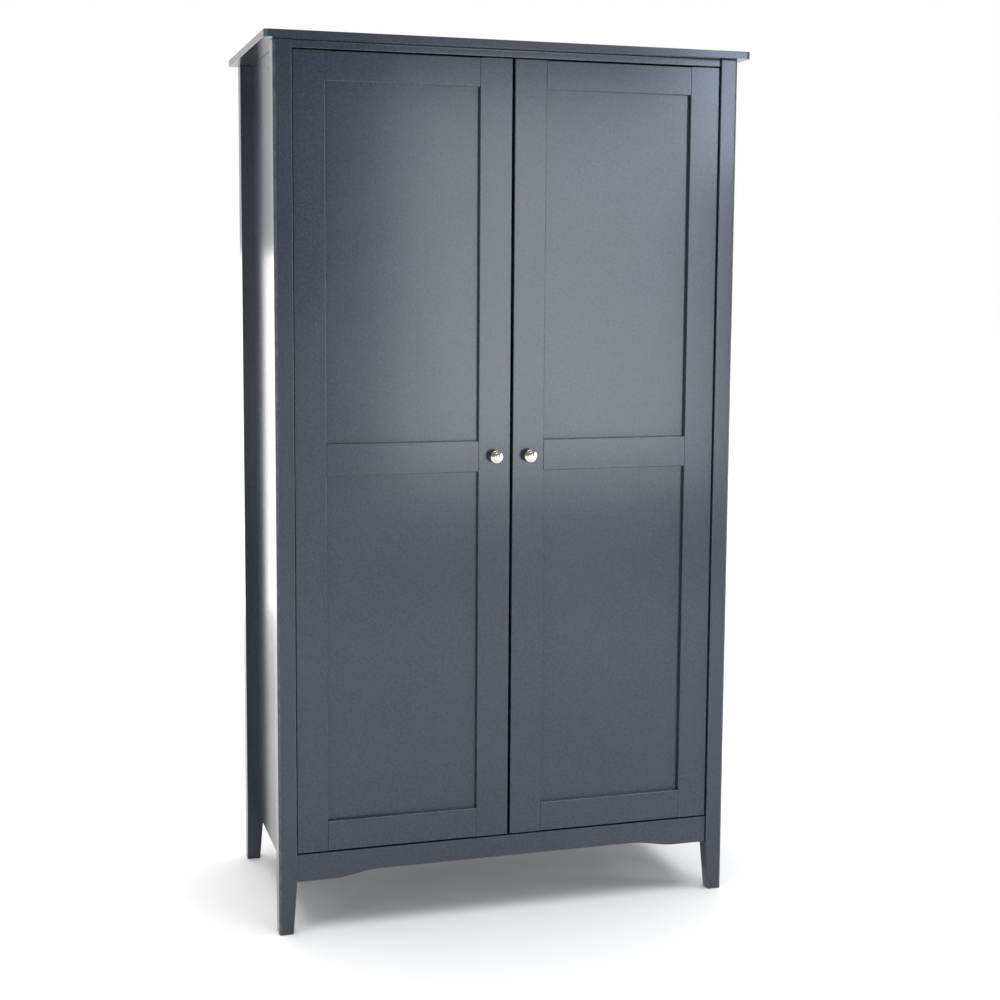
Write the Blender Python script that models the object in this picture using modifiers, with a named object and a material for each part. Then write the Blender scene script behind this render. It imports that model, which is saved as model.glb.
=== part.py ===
"""A two-door wardrobe: four posts, thin sides and top, and two inset frame-and-panel doors.

Metres, +Z up. The origin is on the floor under the middle of the top board, the front faces -Y,
and +X is the right-hand side as someone facing the wardrobe sees it.
"""

import math

import bmesh
import bpy
from mathutils import Euler, Vector

# Carcass, over the posts
HEIGHT = 1.850
BODY_WIDTH = 1.000
BODY_DEPTH = 0.500
SLIP = 0.0003  # gap left between two pieces that touch
WELD = 0.00001  # points closer than this are one

# Top board
TOP_THICK = 0.015
TOP_SIDE_OVERHANG = 0.020
TOP_FRONT_OVERHANG = 0.022
TOP_CORNER_RADIUS = 0.010
TOP_CORNER_STEPS = 6

# Posts, whose legs taper on their two inner faces
POST_SIZE = 0.038
FOOT_SIZE = 0.030
POST_ARRIS = 0.006
POST_ARRIS_STEPS = 4
LEG_HEIGHT = 0.110

# Sides, rails, floor and back
SIDE_THICK = 0.012
FRONT_RAIL_THICK = 0.015
FRONT_RAIL_DEPTH = 0.060
APRON_THICK = 0.018
APRON_HEIGHT = 0.058
APRON_RISE = 0.0125
APRON_FLAT_END = 0.074
APRON_OGEE_LENGTH = 0.102
APRON_OGEE_STEPS = 10
FLOOR_THICK = 0.015
BACK_RAIL_THICK = 0.015
BACK_RAIL_HEIGHT = 0.060
BACK_THICK = 0.003
BACK_INSET = 0.013
BACK_GROOVE_DEPTH = 0.005
STRIP_WIDTH = 0.020
STRIP_FLANGE = 0.001
STRIP_WEB = 0.003
ARRIS = 0.001
ARRIS_ANGLE = 40.0  # degrees; an edge sharper than this is eased

# Hat shelf and hanging rail
HAT_SPACE = 0.275  # top of the shelf to the underside of the top board
SHELF_THICK = 0.015
SHELF_FRONT_SPACE = 0.030
BATTEN_HEIGHT = 0.020
BATTEN_THICK = 0.015
BATTEN_END_SPACE = 0.033  # from each end of the batten to the edge of the shelf
RAIL_DIAMETER = 0.025
RAIL_WALL = 0.0012
RAIL_DROP = 0.055
SOCKET_WALL = 0.0032
SOCKET_RIM = 0.007
SOCKET_FLANGE = 0.003
SOCKET_LENGTH = 0.016

# Doors
DOOR_SETBACK = 0.006
DOOR_SIDE_GAP = 0.002
DOOR_TOP_GAP = 0.0035
DOOR_BOTTOM_GAP = 0.0035
CENTRE_GAP = 0.006
HINGE_STILE_WIDTH = 0.065
LOCK_STILE_WIDTH = 0.069
TOP_RAIL_HEIGHT = 0.059
MID_RAIL_HEIGHT = 0.066
MID_RAIL_CENTRE = 0.995
BOTTOM_RAIL_HEIGHT = 0.063
PANEL_THICK = 0.006
PANEL_RECESS = 0.0105
PANEL_BACK_LIP = 0.0035
PANEL_GROOVE_DEPTH = 0.008
DOOR_ARRIS = 0.0008

# Knobs
KNOB_DIAMETER = 0.028
KNOB_PROJECTION = 0.025
KNOB_HEAD_THICK = 0.012
KNOB_RIM_RADIUS = 0.004
KNOB_DOME_STEPS = 5
KNOB_RIM_STEPS = 6
KNOB_NECK_DIAMETER = 0.011
KNOB_COVE = 0.002
KNOB_FOOT_DIAMETER = 0.016
KNOB_FOOT_THICK = 0.003
KNOB_FOOT_EASE = 0.001
KNOB_SCREW_DIAMETER = 0.004
KNOB_SCREW_HOLD = 0.011
SCREW_HEAD_DIAMETER = 0.008
SCREW_HEAD_THICK = 0.0022

# Concealed hinges and catches
HINGE_END_DISTANCE = 0.110
CUP_DIAMETER = 0.035
CUP_BORE_DEPTH = 0.0115
CUP_EDGE = 0.004
CUP_WALL = 0.0015
CUP_FLANGE = 0.0014
CUP_FLANGE_OVERLAP = 0.002
CUP_EAR_REACH = 0.0135
CUP_EAR_WIDTH = 0.014
ARM_WIDTH = 0.014
ARM_CLEARANCE = 0.003
ARM_LENGTH = 0.060
ARM_BEND = 0.030  # from the nose to the bend in the arm's inner face
ARM_BEND_RISE = 0.015  # how far the arm stands off the side there
ARM_TAIL_RISE = 0.012
ARM_NOSE_HALF = 0.004
ARM_NOSE_SLOPE = 0.005
ARM_HOLLOW = 0.018  # from the nose to the hollow in the arm's outer face
ARM_HOLLOW_RISE = 0.006
ARM_FOOT = 0.028  # from the nose to where the arm meets its plate
PLATE_HEIGHT = 0.050
PLATE_LENGTH = 0.024
PLATE_THICK = 0.0025
PLATE_DISTANCE = 0.042  # from the nose to the middle of the plate
CATCH_LENGTH = 0.046
CATCH_HEIGHT = 0.014
CATCH_DEPTH = 0.014
CATCH_GAP = 0.0012
STRIKE_LENGTH = 0.036
STRIKE_HEIGHT = 0.017
STRIKE_THICK = 0.001
STRIKE_TOP_INSET = 0.001

# Levels and planes that follow
TOP_UNDERSIDE = HEIGHT - TOP_THICK
POST_TOP = TOP_UNDERSIDE - SLIP
FRONT_RAIL_UNDERSIDE = POST_TOP - FRONT_RAIL_THICK
APRON_TOP = LEG_HEIGHT + APRON_HEIGHT
SHELF_TOP = TOP_UNDERSIDE - HAT_SPACE
SHELF_UNDERSIDE = SHELF_TOP - SHELF_THICK
DOOR_BOTTOM = APRON_TOP + DOOR_BOTTOM_GAP
DOOR_TOP = TOP_UNDERSIDE - FRONT_RAIL_THICK - DOOR_TOP_GAP

TOP_FRONT = -(BODY_DEPTH + TOP_FRONT_OVERHANG) / 2
REAR = -TOP_FRONT
POST_FRONT = TOP_FRONT + TOP_FRONT_OVERHANG
FRONT_POST_BACK = POST_FRONT + POST_SIZE
REAR_POST_FRONT = REAR - POST_SIZE
DOOR_THICK = PANEL_RECESS + PANEL_THICK + PANEL_BACK_LIP
DOOR_FRONT = POST_FRONT + DOOR_SETBACK
DOOR_BACK = DOOR_FRONT + DOOR_THICK
BACK_REAR = REAR - BACK_INSET
BACK_FRONT = BACK_REAR - BACK_THICK
BACK_RAIL_BACK = BACK_FRONT - SLIP
BACK_RAIL_FRONT = BACK_RAIL_BACK - BACK_RAIL_THICK
STRIP_FRONT = BACK_FRONT - SLIP - STRIP_FLANGE

HALF_WIDTH = BODY_WIDTH / 2
HALF_OPENING = HALF_WIDTH - POST_SIZE
HINGE_X = HALF_OPENING - DOOR_SIDE_GAP
DOOR_WIDTH = HINGE_X - CENTRE_GAP / 2
CUP_CENTRE = HINGE_X - CUP_EDGE - CUP_DIAMETER / 2
KNOB_X = CENTRE_GAP / 2 + LOCK_STILE_WIDTH / 2
CUTTER_REACH = 0.005

PAINT = ("painted_wood", (0.085, 0.105, 0.130), 0.42, 0.0)
BACK_BOARD = ("back_board", (0.090, 0.108, 0.130), 0.70, 0.0)
CHROME = ("chrome", (0.78, 0.77, 0.75), 0.10, 1.0)
STEEL = ("plated_steel", (0.62, 0.62, 0.61), 0.28, 1.0)
PLASTIC = ("plastic", (0.22, 0.23, 0.24), 0.50, 0.0)

SIDES = (("left", -1), ("right", 1))


def new_collection(name):
    collection = bpy.data.collections.new(name)
    bpy.context.scene.collection.children.link(collection)
    return collection


def finish_material(finish):
    """The Principled material of a finish, made the first time it is asked for."""
    name, colour, roughness, metallic = finish
    found = bpy.data.materials.get(name)
    if found:
        return found
    material = bpy.data.materials.new(name)
    material.use_nodes = True
    shader = material.node_tree.nodes["Principled BSDF"]
    shader.inputs["Base Color"].default_value = (*colour, 1.0)
    shader.inputs["Roughness"].default_value = roughness
    shader.inputs["Metallic"].default_value = metallic
    return material


def place(name, mesh, location, finish, hinge=None):
    """A named piece in the wardrobe's collection, hung from a hinge empty where it has one."""
    obj = bpy.data.objects.new(name, mesh)
    bpy.data.collections["wardrobe"].objects.link(obj)
    mesh.materials.append(finish_material(finish))
    obj.location = Vector(location) - (hinge.location if hinge else Vector())
    obj.parent = hinge
    return obj


def mesh_from(name, bm):
    bmesh.ops.recalc_face_normals(bm, faces=bm.faces)
    mesh = bpy.data.meshes.new(name)
    bm.to_mesh(mesh)
    bm.free()
    return mesh


def box_mesh(name, size):
    bm = bmesh.new()
    bmesh.ops.create_cube(bm, size=1.0)
    bmesh.ops.scale(bm, vec=size, verts=bm.verts)
    return mesh_from(name, bm)


def ease(obj, width, segments=2):
    """Rounds the sharp edges of a piece."""
    bevel = obj.modifiers.new("eased_edges", "BEVEL")
    bevel.width = width
    bevel.segments = segments
    bevel.limit_method = "ANGLE"
    bevel.angle_limit = math.radians(ARRIS_ANGLE)
    return bevel


def board(name, low, high, finish=PAINT, hinge=None, arris=ARRIS):
    """A board between two corners, with its edges eased."""
    low, high = Vector(low), Vector(high)
    obj = place(name, box_mesh(name, high - low), (low + high) / 2, finish, hinge)
    if arris:
        ease(obj, arris)
    return obj


def mirrored_x(side, near, far):
    """The two x values of a stretch from near to far of the middle, lowest first."""
    return tuple(sorted((side * near, side * far)))


def cutter(name, mesh, location):
    obj = bpy.data.objects.new(name, mesh)
    bpy.data.collections["cutters"].objects.link(obj)
    obj.location = location
    obj.hide_render = True
    obj.display_type = "WIRE"
    return obj


def boolean(obj, other, operation):
    modifier = obj.modifiers.new(other.name, "BOOLEAN")
    modifier.operation = operation
    modifier.solver = "EXACT"
    modifier.object = other


def cut_box(obj, name, low, high):
    low, high = Vector(low), Vector(high)
    boolean(obj, cutter(name, box_mesh(name, high - low), (low + high) / 2), "DIFFERENCE")


def rod_mesh(name, radius, length, segments=32):
    """A cylinder along its own Z axis, centred."""
    bm = bmesh.new()
    bmesh.ops.create_cone(
        bm, cap_ends=True, segments=segments, radius1=radius, radius2=radius, depth=length
    )
    return mesh_from(name, bm)


def rod_cutter(name, radius, start, end, segments=32):
    """A round cutter whose axis runs from start to end."""
    start, end = Vector(start), Vector(end)
    obj = cutter(name, rod_mesh(name, radius, (end - start).length, segments), (start + end) / 2)
    obj.rotation_euler = (end - start).to_track_quat("Z", "Y").to_euler()
    return obj


def turned(name, profile, location, direction, finish, hinge=None, steps=24):
    """A turned piece; its profile of (radius, height) runs down the outer side from the top."""
    mesh = bpy.data.meshes.new(name)
    points = [(radius, 0.0, height) for radius, height in profile]
    mesh.from_pydata(points, [(i, i + 1) for i in range(len(points) - 1)], [])
    obj = place(name, mesh, location, finish, hinge)
    obj.rotation_euler = Vector(direction).to_track_quat("Z", "Y").to_euler()
    screw = obj.modifiers.new("turned", "SCREW")
    screw.steps = steps
    screw.render_steps = steps
    screw.use_merge_vertices = True
    screw.merge_threshold = WELD
    screw.use_smooth_shade = True
    return obj


def arc(centre, radius, start, end, steps):
    """Points of an arc in (radius, height), from one angle in degrees to another."""
    angles = [math.radians(start + (end - start) * i / steps) for i in range(steps + 1)]
    return [(centre[0] + radius * math.cos(a), centre[1] + radius * math.sin(a)) for a in angles]


def outline_mesh(name, points, thickness):
    """A flat outline in its own XY plane, made solid to a thickness centred on that plane."""
    curve = bpy.data.curves.new(name, "CURVE")
    curve.dimensions = "2D"
    curve.fill_mode = "BOTH"
    curve.extrude = thickness / 2
    spline = curve.splines.new("POLY")
    spline.points.add(len(points) - 1)
    for point, (x, y) in zip(spline.points, points):
        point.co = (x, y, 0.0, 1.0)
    spline.use_cyclic_u = True
    drawn = bpy.data.objects.new(name + "_outline", curve)
    bpy.context.scene.collection.objects.link(drawn)
    graph = bpy.context.evaluated_depsgraph_get()
    mesh = bpy.data.meshes.new_from_object(drawn.evaluated_get(graph))
    bpy.data.objects.remove(drawn)
    bm = bmesh.new()
    bm.from_mesh(mesh)
    bpy.data.meshes.remove(mesh)
    bmesh.ops.remove_doubles(bm, verts=bm.verts, dist=WELD)
    return mesh_from(name, bm)


def make_post(name, side, front):
    """A square post; front is -1 for the two at the front and 1 for the two at the rear."""
    bm = bmesh.new()
    bmesh.ops.create_cube(bm, size=1.0)
    bmesh.ops.scale(bm, vec=(POST_SIZE, POST_SIZE, POST_TOP), verts=bm.verts)
    bmesh.ops.translate(bm, vec=(0.0, 0.0, POST_TOP / 2), verts=bm.verts)
    everything = bm.verts[:] + bm.edges[:] + bm.faces[:]
    bmesh.ops.bisect_plane(
        bm, geom=everything, plane_co=(0.0, 0.0, LEG_HEIGHT), plane_no=(0.0, 0.0, 1.0)
    )
    taper = POST_SIZE - FOOT_SIZE
    for vert in bm.verts:
        if vert.co.z < LEG_HEIGHT / 2:
            vert.co.x += side * taper if vert.co.x * side < 0 else 0.0
            vert.co.y += front * taper if vert.co.y * front < 0 else 0.0
    weights = bm.edges.layers.float.new("bevel_weight_edge")
    for edge in bm.edges:
        ends = [vert.co for vert in edge.verts]
        outer = all(end.x * side > 0 and end.y * front > 0 for end in ends)
        level = abs(ends[0].z - LEG_HEIGHT) < SLIP and abs(ends[1].z - LEG_HEIGHT) < SLIP
        edge[weights] = 1.0 if outer else (0.0 if level else ARRIS / POST_ARRIS)
    centre = HALF_WIDTH - POST_SIZE / 2
    depth = POST_FRONT + POST_SIZE / 2 if front < 0 else REAR - POST_SIZE / 2
    obj = place(name, mesh_from(name, bm), (side * centre, depth, 0.0), PAINT)
    bevel = obj.modifiers.new("eased_edges", "BEVEL")
    bevel.limit_method = "WEIGHT"
    bevel.width = POST_ARRIS
    bevel.segments = POST_ARRIS_STEPS
    return obj


def make_top_board():
    bm = bmesh.new()
    bmesh.ops.create_cube(bm, size=1.0)
    width = BODY_WIDTH + 2 * TOP_SIDE_OVERHANG
    bmesh.ops.scale(bm, vec=(width, REAR - TOP_FRONT, TOP_THICK), verts=bm.verts)
    corners = [
        edge
        for edge in bm.edges
        if all(vert.co.y < 0 for vert in edge.verts)
        and abs(edge.verts[0].co.x - edge.verts[1].co.x) < SLIP
    ]
    bmesh.ops.bevel(
        bm,
        geom=corners,
        offset=TOP_CORNER_RADIUS,
        segments=TOP_CORNER_STEPS,
        profile=0.5,
        affect="EDGES",
    )
    middle = (0.0, (TOP_FRONT + REAR) / 2, TOP_UNDERSIDE + TOP_THICK / 2)
    ease(place("top_board", mesh_from("top_board", bm), middle, PAINT), ARRIS)


def make_apron():
    """The rail under the doors, whose lower edge rises in an ogee from each flat end."""
    half = HALF_OPENING - SLIP
    ogee_end = HALF_OPENING - APRON_FLAT_END - APRON_OGEE_LENGTH
    rising = []
    for step in range(APRON_OGEE_STEPS + 1):
        share = step / APRON_OGEE_STEPS
        lift = APRON_RISE * (1 - math.cos(math.pi * share)) / 2
        rising.append((ogee_end + APRON_OGEE_LENGTH * (1 - share), LEG_HEIGHT + lift))
    falling = [(-x, z) for x, z in reversed(rising)]
    lower = [(half, LEG_HEIGHT), *rising, *falling, (-half, LEG_HEIGHT)]
    outline = [(-half, APRON_TOP), (half, APRON_TOP), *lower]
    mesh = outline_mesh("front_apron", outline, APRON_THICK)
    obj = place("front_apron", mesh, (0.0, DOOR_FRONT + APRON_THICK / 2, 0.0), PAINT)
    obj.rotation_euler = Euler((math.pi / 2, 0.0, 0.0))
    ease(obj, ARRIS)


def make_carcass():
    make_top_board()
    for word, side in SIDES:
        make_post(f"front_post_{word}", side, -1)
        rear_post = make_post(f"rear_post_{word}", side, 1)
        groove_x = mirrored_x(side, HALF_OPENING - CUTTER_REACH, HALF_OPENING + BACK_GROOVE_DEPTH)
        cut_box(
            rear_post,
            f"back_groove_{word}",
            (groove_x[0], BACK_FRONT - SLIP, LEG_HEIGHT - SLIP),
            (groove_x[1], BACK_REAR + SLIP, POST_TOP + CUTTER_REACH),
        )
        panel_x = mirrored_x(side, HALF_OPENING, HALF_OPENING + SIDE_THICK)
        board(
            f"side_panel_{word}",
            (panel_x[0], FRONT_POST_BACK + SLIP, LEG_HEIGHT),
            (panel_x[1], REAR_POST_FRONT - SLIP, POST_TOP),
        )
        back_x = mirrored_x(
            side, STRIP_WEB / 2 + SLIP, HALF_OPENING + BACK_GROOVE_DEPTH - SLIP
        )
        board(
            f"back_panel_{word}",
            (back_x[0], BACK_FRONT, LEG_HEIGHT),
            (back_x[1], BACK_REAR, POST_TOP),
            BACK_BOARD,
            arris=0.0,
        )
    inside = HALF_OPENING - SLIP
    board(
        "front_top_rail",
        (-inside, DOOR_FRONT, FRONT_RAIL_UNDERSIDE),
        (inside, DOOR_FRONT + FRONT_RAIL_DEPTH, POST_TOP),
    )
    make_apron()
    board(
        "rear_top_rail",
        (-inside, BACK_RAIL_FRONT, POST_TOP - BACK_RAIL_HEIGHT),
        (inside, BACK_RAIL_BACK, POST_TOP),
    )
    board(
        "rear_bottom_rail",
        (-inside, BACK_RAIL_FRONT, LEG_HEIGHT),
        (inside, BACK_RAIL_BACK, APRON_TOP),
    )
    board(
        "floor_panel",
        (-inside, DOOR_FRONT + APRON_THICK + SLIP, APRON_TOP - FLOOR_THICK),
        (inside, BACK_RAIL_FRONT - SLIP, APRON_TOP),
    )
    make_joint_strip()


def make_joint_strip():
    """The H-shaped strip that joins the two halves of the back between the rear rails."""
    front, web_front = STRIP_FRONT, STRIP_FRONT + STRIP_FLANGE
    web_back = BACK_REAR + SLIP
    back = web_back + STRIP_FLANGE
    wide, slim = STRIP_WIDTH / 2, STRIP_WEB / 2
    right = [(wide, front), (wide, web_front), (slim, web_front), (slim, web_back)]
    right += [(wide, web_back), (wide, back)]
    outline = right + [(-x, y) for x, y in reversed(right)]
    low, high = APRON_TOP + SLIP, POST_TOP - BACK_RAIL_HEIGHT - SLIP
    mesh = outline_mesh("back_joint_strip", outline, high - low)
    place("back_joint_strip", mesh, (0.0, 0.0, (low + high) / 2), PLASTIC)


def make_hanging_space():
    inside = HALF_OPENING - SLIP
    shelf_front = DOOR_BACK + SHELF_FRONT_SPACE
    shelf_back = STRIP_FRONT - SLIP
    batten_top = SHELF_UNDERSIDE - SLIP
    board(
        "hat_shelf",
        (-inside, shelf_front, SHELF_UNDERSIDE),
        (inside, shelf_back, SHELF_TOP),
    )
    rail_height = SHELF_UNDERSIDE - RAIL_DROP
    middle = (DOOR_BACK + BACK_FRONT) / 2
    rail_radius = RAIL_DIAMETER / 2
    rail_half = inside - SOCKET_FLANGE - SLIP
    rail = place(
        "hanging_rail",
        rod_mesh("hanging_rail", rail_radius, 2 * rail_half),
        (0.0, middle, rail_height),
        CHROME,
    )
    rail.rotation_euler = Euler((0.0, math.pi / 2, 0.0))
    reach = Vector((rail_half + CUTTER_REACH, 0.0, 0.0))
    bore = rod_cutter(
        "rail_bore", rail_radius - RAIL_WALL, rail.location - reach, rail.location + reach
    )
    boolean(rail, bore, "DIFFERENCE")
    hole = rail_radius + SLIP
    boss = hole + SOCKET_WALL
    socket_profile = [
        (0.0, SOCKET_FLANGE),
        (hole, SOCKET_FLANGE),
        (hole, SOCKET_LENGTH),
        (boss, SOCKET_LENGTH),
        (boss, SOCKET_FLANGE),
        (boss + SOCKET_RIM, SOCKET_FLANGE),
        (boss + SOCKET_RIM, 0.0),
        (0.0, 0.0),
    ]
    for word, side in SIDES:
        wall = (side * inside, middle, rail_height)
        turned(f"rail_socket_{word}", socket_profile, wall, (-side, 0.0, 0.0), CHROME)
        batten_x = mirrored_x(side, inside - BATTEN_THICK, inside)
        board(
            f"shelf_batten_{word}",
            (batten_x[0], shelf_front + BATTEN_END_SPACE, batten_top - BATTEN_HEIGHT),
            (batten_x[1], shelf_back - BATTEN_END_SPACE, batten_top),
        )


def hinge_heights():
    middle = (DOOR_BOTTOM + DOOR_TOP) / 2
    return (
        ("lower", DOOR_BOTTOM + HINGE_END_DISTANCE),
        ("middle", middle),
        ("upper", DOOR_TOP - HINGE_END_DISTANCE),
    )


def make_hinge_arm(name, side, height):
    """The arm and its mounting plate on the inner face of the side, reaching to the cup."""
    nose = DOOR_BACK + ARM_CLEARANCE
    reach = HALF_OPENING - CUP_CENTRE
    inward = [
        (PLATE_THICK / 2, ARM_LENGTH),
        (ARM_TAIL_RISE, ARM_LENGTH),
        (ARM_BEND_RISE, ARM_BEND),
        (reach + ARM_NOSE_HALF, ARM_NOSE_SLOPE),
        (reach - ARM_NOSE_HALF, 0.0),
        (ARM_HOLLOW_RISE, ARM_HOLLOW),
        (PLATE_THICK / 2, ARM_FOOT),
    ]
    outline = [(side * (HALF_OPENING - x), nose + y) for x, y in inward]
    mesh = outline_mesh(name, outline, ARM_WIDTH)
    arm = place(name, mesh, (0.0, 0.0, height), STEEL)
    ease(arm, ARRIS, 1)
    plate_x = mirrored_x(side, HALF_OPENING - SLIP - PLATE_THICK, HALF_OPENING - SLIP)
    size = (PLATE_THICK, PLATE_LENGTH, PLATE_HEIGHT)
    middle = (sum(plate_x) / 2, nose + PLATE_DISTANCE, height)
    boolean(arm, cutter(name + "_plate", box_mesh(name + "_plate", size), middle), "UNION")


def make_hinge_cup(name, side, height, hinge, stile):
    """The cup let into the back of the hinge stile, with its flange and screw ears."""
    x = side * CUP_CENTRE
    bottom = DOOR_BACK - CUP_BORE_DEPTH
    bore_end = (x, DOOR_BACK + CUTTER_REACH, height)
    bore = rod_cutter(name + "_bore", CUP_DIAMETER / 2, (x, bottom, height), bore_end)
    boolean(stile, bore, "DIFFERENCE")
    rim = DOOR_BACK + SLIP + CUP_FLANGE
    radius = CUP_DIAMETER / 2 - SLIP
    profile = [
        (0.0, bottom + SLIP + CUP_WALL - rim),
        (radius - CUP_WALL, bottom + SLIP + CUP_WALL - rim),
        (radius - CUP_WALL, 0.0),
        (radius + CUP_FLANGE_OVERLAP, 0.0),
        (radius + CUP_FLANGE_OVERLAP, -CUP_FLANGE),
        (radius, -CUP_FLANGE),
        (radius, bottom + SLIP - rim),
        (0.0, bottom + SLIP - rim),
    ]
    cup = turned(name, profile, (x, rim, height), (0.0, 1.0, 0.0), STEEL, hinge)
    ear_size = (CUP_EAR_WIDTH, CUP_FLANGE / 2, CUP_EAR_REACH)
    for word, up in (("lower", -1), ("upper", 1)):
        ear_height = height + up * (CUP_DIAMETER + CUP_EAR_REACH) / 2
        ear = box_mesh(f"{name}_{word}_ear", ear_size)
        middle = (x, DOOR_BACK + SLIP + CUP_FLANGE / 2, ear_height)
        boolean(cup, cutter(f"{name}_{word}_ear", ear, middle), "UNION")


def make_knob(word, side, hinge, stile):
    """A turned knob and the screw that holds it through the lock stile."""
    x = side * KNOB_X
    head_back = KNOB_PROJECTION - KNOB_HEAD_THICK
    rim_centre = (KNOB_DIAMETER / 2 - KNOB_RIM_RADIUS, head_back + KNOB_RIM_RADIUS)
    dome_rise = KNOB_HEAD_THICK - 2 * KNOB_RIM_RADIUS
    dome_half = rim_centre[0]
    dome_radius = (dome_half**2 + dome_rise**2) / (2 * dome_rise)
    dome_angle = math.degrees(math.asin(dome_half / dome_radius))
    dome_centre = (0.0, KNOB_PROJECTION - dome_radius)
    rim_start = 90.0 - dome_angle
    neck = KNOB_NECK_DIAMETER / 2
    foot = KNOB_FOOT_DIAMETER / 2
    hole = KNOB_SCREW_DIAMETER / 2 + SLIP
    hole_depth = KNOB_SCREW_HOLD + SLIP
    profile = arc(dome_centre, dome_radius, 90.0, rim_start, KNOB_DOME_STEPS)[:-1]
    profile += arc(rim_centre, KNOB_RIM_RADIUS, rim_start, -90.0, KNOB_RIM_STEPS)
    profile += [
        (neck + KNOB_COVE, head_back),
        (neck, head_back - KNOB_COVE),
        (neck, KNOB_FOOT_THICK + KNOB_FOOT_EASE),
        (foot - KNOB_FOOT_EASE, KNOB_FOOT_THICK),
        (foot, KNOB_FOOT_THICK - KNOB_FOOT_EASE),
        (foot, SLIP),
        (hole, SLIP),
        (hole, hole_depth),
        (0.0, hole_depth),
    ]
    at = (x, DOOR_FRONT, MID_RAIL_CENTRE)
    turned(f"{word}_knob", profile, at, (0.0, -1.0, 0.0), CHROME, hinge)
    back = (x, DOOR_BACK + CUTTER_REACH, MID_RAIL_CENTRE)
    front = (x, DOOR_FRONT - CUTTER_REACH, MID_RAIL_CENTRE)
    boolean(stile, rod_cutter(f"{word}_knob_hole", hole, front, back, 16), "DIFFERENCE")
    shank = KNOB_SCREW_DIAMETER / 2
    head = SCREW_HEAD_DIAMETER / 2
    screw_profile = [
        (0.0, DOOR_THICK + KNOB_SCREW_HOLD),
        (shank, DOOR_THICK + KNOB_SCREW_HOLD),
        (shank, -SLIP),
        (head, -SLIP),
        (head, -SLIP - SCREW_HEAD_THICK / 2),
        (head / 2, -SLIP - SCREW_HEAD_THICK),
        (0.0, -SLIP - SCREW_HEAD_THICK),
    ]
    start = (x, DOOR_BACK, MID_RAIL_CENTRE)
    turned(f"{word}_knob_screw", screw_profile, start, (0.0, -1.0, 0.0), STEEL, hinge, 16)


def make_door(word, side):
    """A frame of two stiles and three rails round two thin panels, hung on its outer front edge."""
    hinge = bpy.data.objects.new(f"{word}_door_hinge", None)
    bpy.data.collections["wardrobe"].objects.link(hinge)
    hinge.location = (side * HINGE_X, DOOR_FRONT, 0.0)
    panel_front = DOOR_FRONT + PANEL_RECESS
    groove_y = (panel_front - SLIP, panel_front + PANEL_THICK + SLIP)

    hinge_edge = HINGE_X - HINGE_STILE_WIDTH
    lock_edge = CENTRE_GAP / 2 + LOCK_STILE_WIDTH
    stile_spans = (
        ("hinge_stile", hinge_edge, HINGE_X, hinge_edge, 1),
        ("lock_stile", CENTRE_GAP / 2, lock_edge, lock_edge, -1),
    )
    stiles = {}
    for name, near, far, edge, outward in stile_spans:
        xs = mirrored_x(side, near, far)
        stile = board(
            f"{word}_{name}",
            (xs[0], DOOR_FRONT, DOOR_BOTTOM),
            (xs[1], DOOR_BACK, DOOR_TOP),
            hinge=hinge,
            arris=DOOR_ARRIS,
        )
        groove_x = mirrored_x(side, edge - outward * CUTTER_REACH, edge + outward * PANEL_GROOVE_DEPTH)
        cut_box(
            stile,
            f"{word}_{name}_groove",
            (groove_x[0], groove_y[0], DOOR_BOTTOM - CUTTER_REACH),
            (groove_x[1], groove_y[1], DOOR_TOP + CUTTER_REACH),
        )
        stiles[name] = stile

    mid_top = MID_RAIL_CENTRE + MID_RAIL_HEIGHT / 2
    mid_bottom = MID_RAIL_CENTRE - MID_RAIL_HEIGHT / 2
    rail_spans = (
        ("top_rail", DOOR_TOP - TOP_RAIL_HEIGHT, DOOR_TOP),
        ("mid_rail", mid_bottom, mid_top),
        ("bottom_rail", DOOR_BOTTOM, DOOR_BOTTOM + BOTTOM_RAIL_HEIGHT),
    )
    rail_x = mirrored_x(side, lock_edge + SLIP, hinge_edge - SLIP)
    cut_x = (rail_x[0] - CUTTER_REACH, rail_x[1] + CUTTER_REACH)
    for name, low, high in rail_spans:
        rail = board(
            f"{word}_{name}",
            (rail_x[0], DOOR_FRONT, low),
            (rail_x[1], DOOR_BACK, high),
            hinge=hinge,
            arris=DOOR_ARRIS,
        )
        if name != "bottom_rail":
            cut_box(
                rail,
                f"{word}_{name}_lower_groove",
                (cut_x[0], groove_y[0], low - CUTTER_REACH),
                (cut_x[1], groove_y[1], low + PANEL_GROOVE_DEPTH),
            )
        if name != "top_rail":
            cut_box(
                rail,
                f"{word}_{name}_upper_groove",
                (cut_x[0], groove_y[0], high - PANEL_GROOVE_DEPTH),
                (cut_x[1], groove_y[1], high + CUTTER_REACH),
            )

    tongue = PANEL_GROOVE_DEPTH - SLIP
    panel_x = mirrored_x(side, lock_edge - tongue, hinge_edge + tongue)
    panel_spans = (
        ("lower_panel", DOOR_BOTTOM + BOTTOM_RAIL_HEIGHT, mid_bottom),
        ("upper_panel", mid_top, DOOR_TOP - TOP_RAIL_HEIGHT),
    )
    for name, low, high in panel_spans:
        board(
            f"{word}_{name}",
            (panel_x[0], panel_front, low - tongue),
            (panel_x[1], panel_front + PANEL_THICK, high + tongue),
            hinge=hinge,
            arris=0.0,
        )

    make_knob(word, side, hinge, stiles["lock_stile"])
    for level, height in hinge_heights():
        make_hinge_arm(f"hinge_arm_{word}_{level}", side, height)
        make_hinge_cup(
            f"{word}_hinge_cup_{level}", side, height, hinge, stiles["hinge_stile"]
        )
    make_catch(word, side, hinge)


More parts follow.
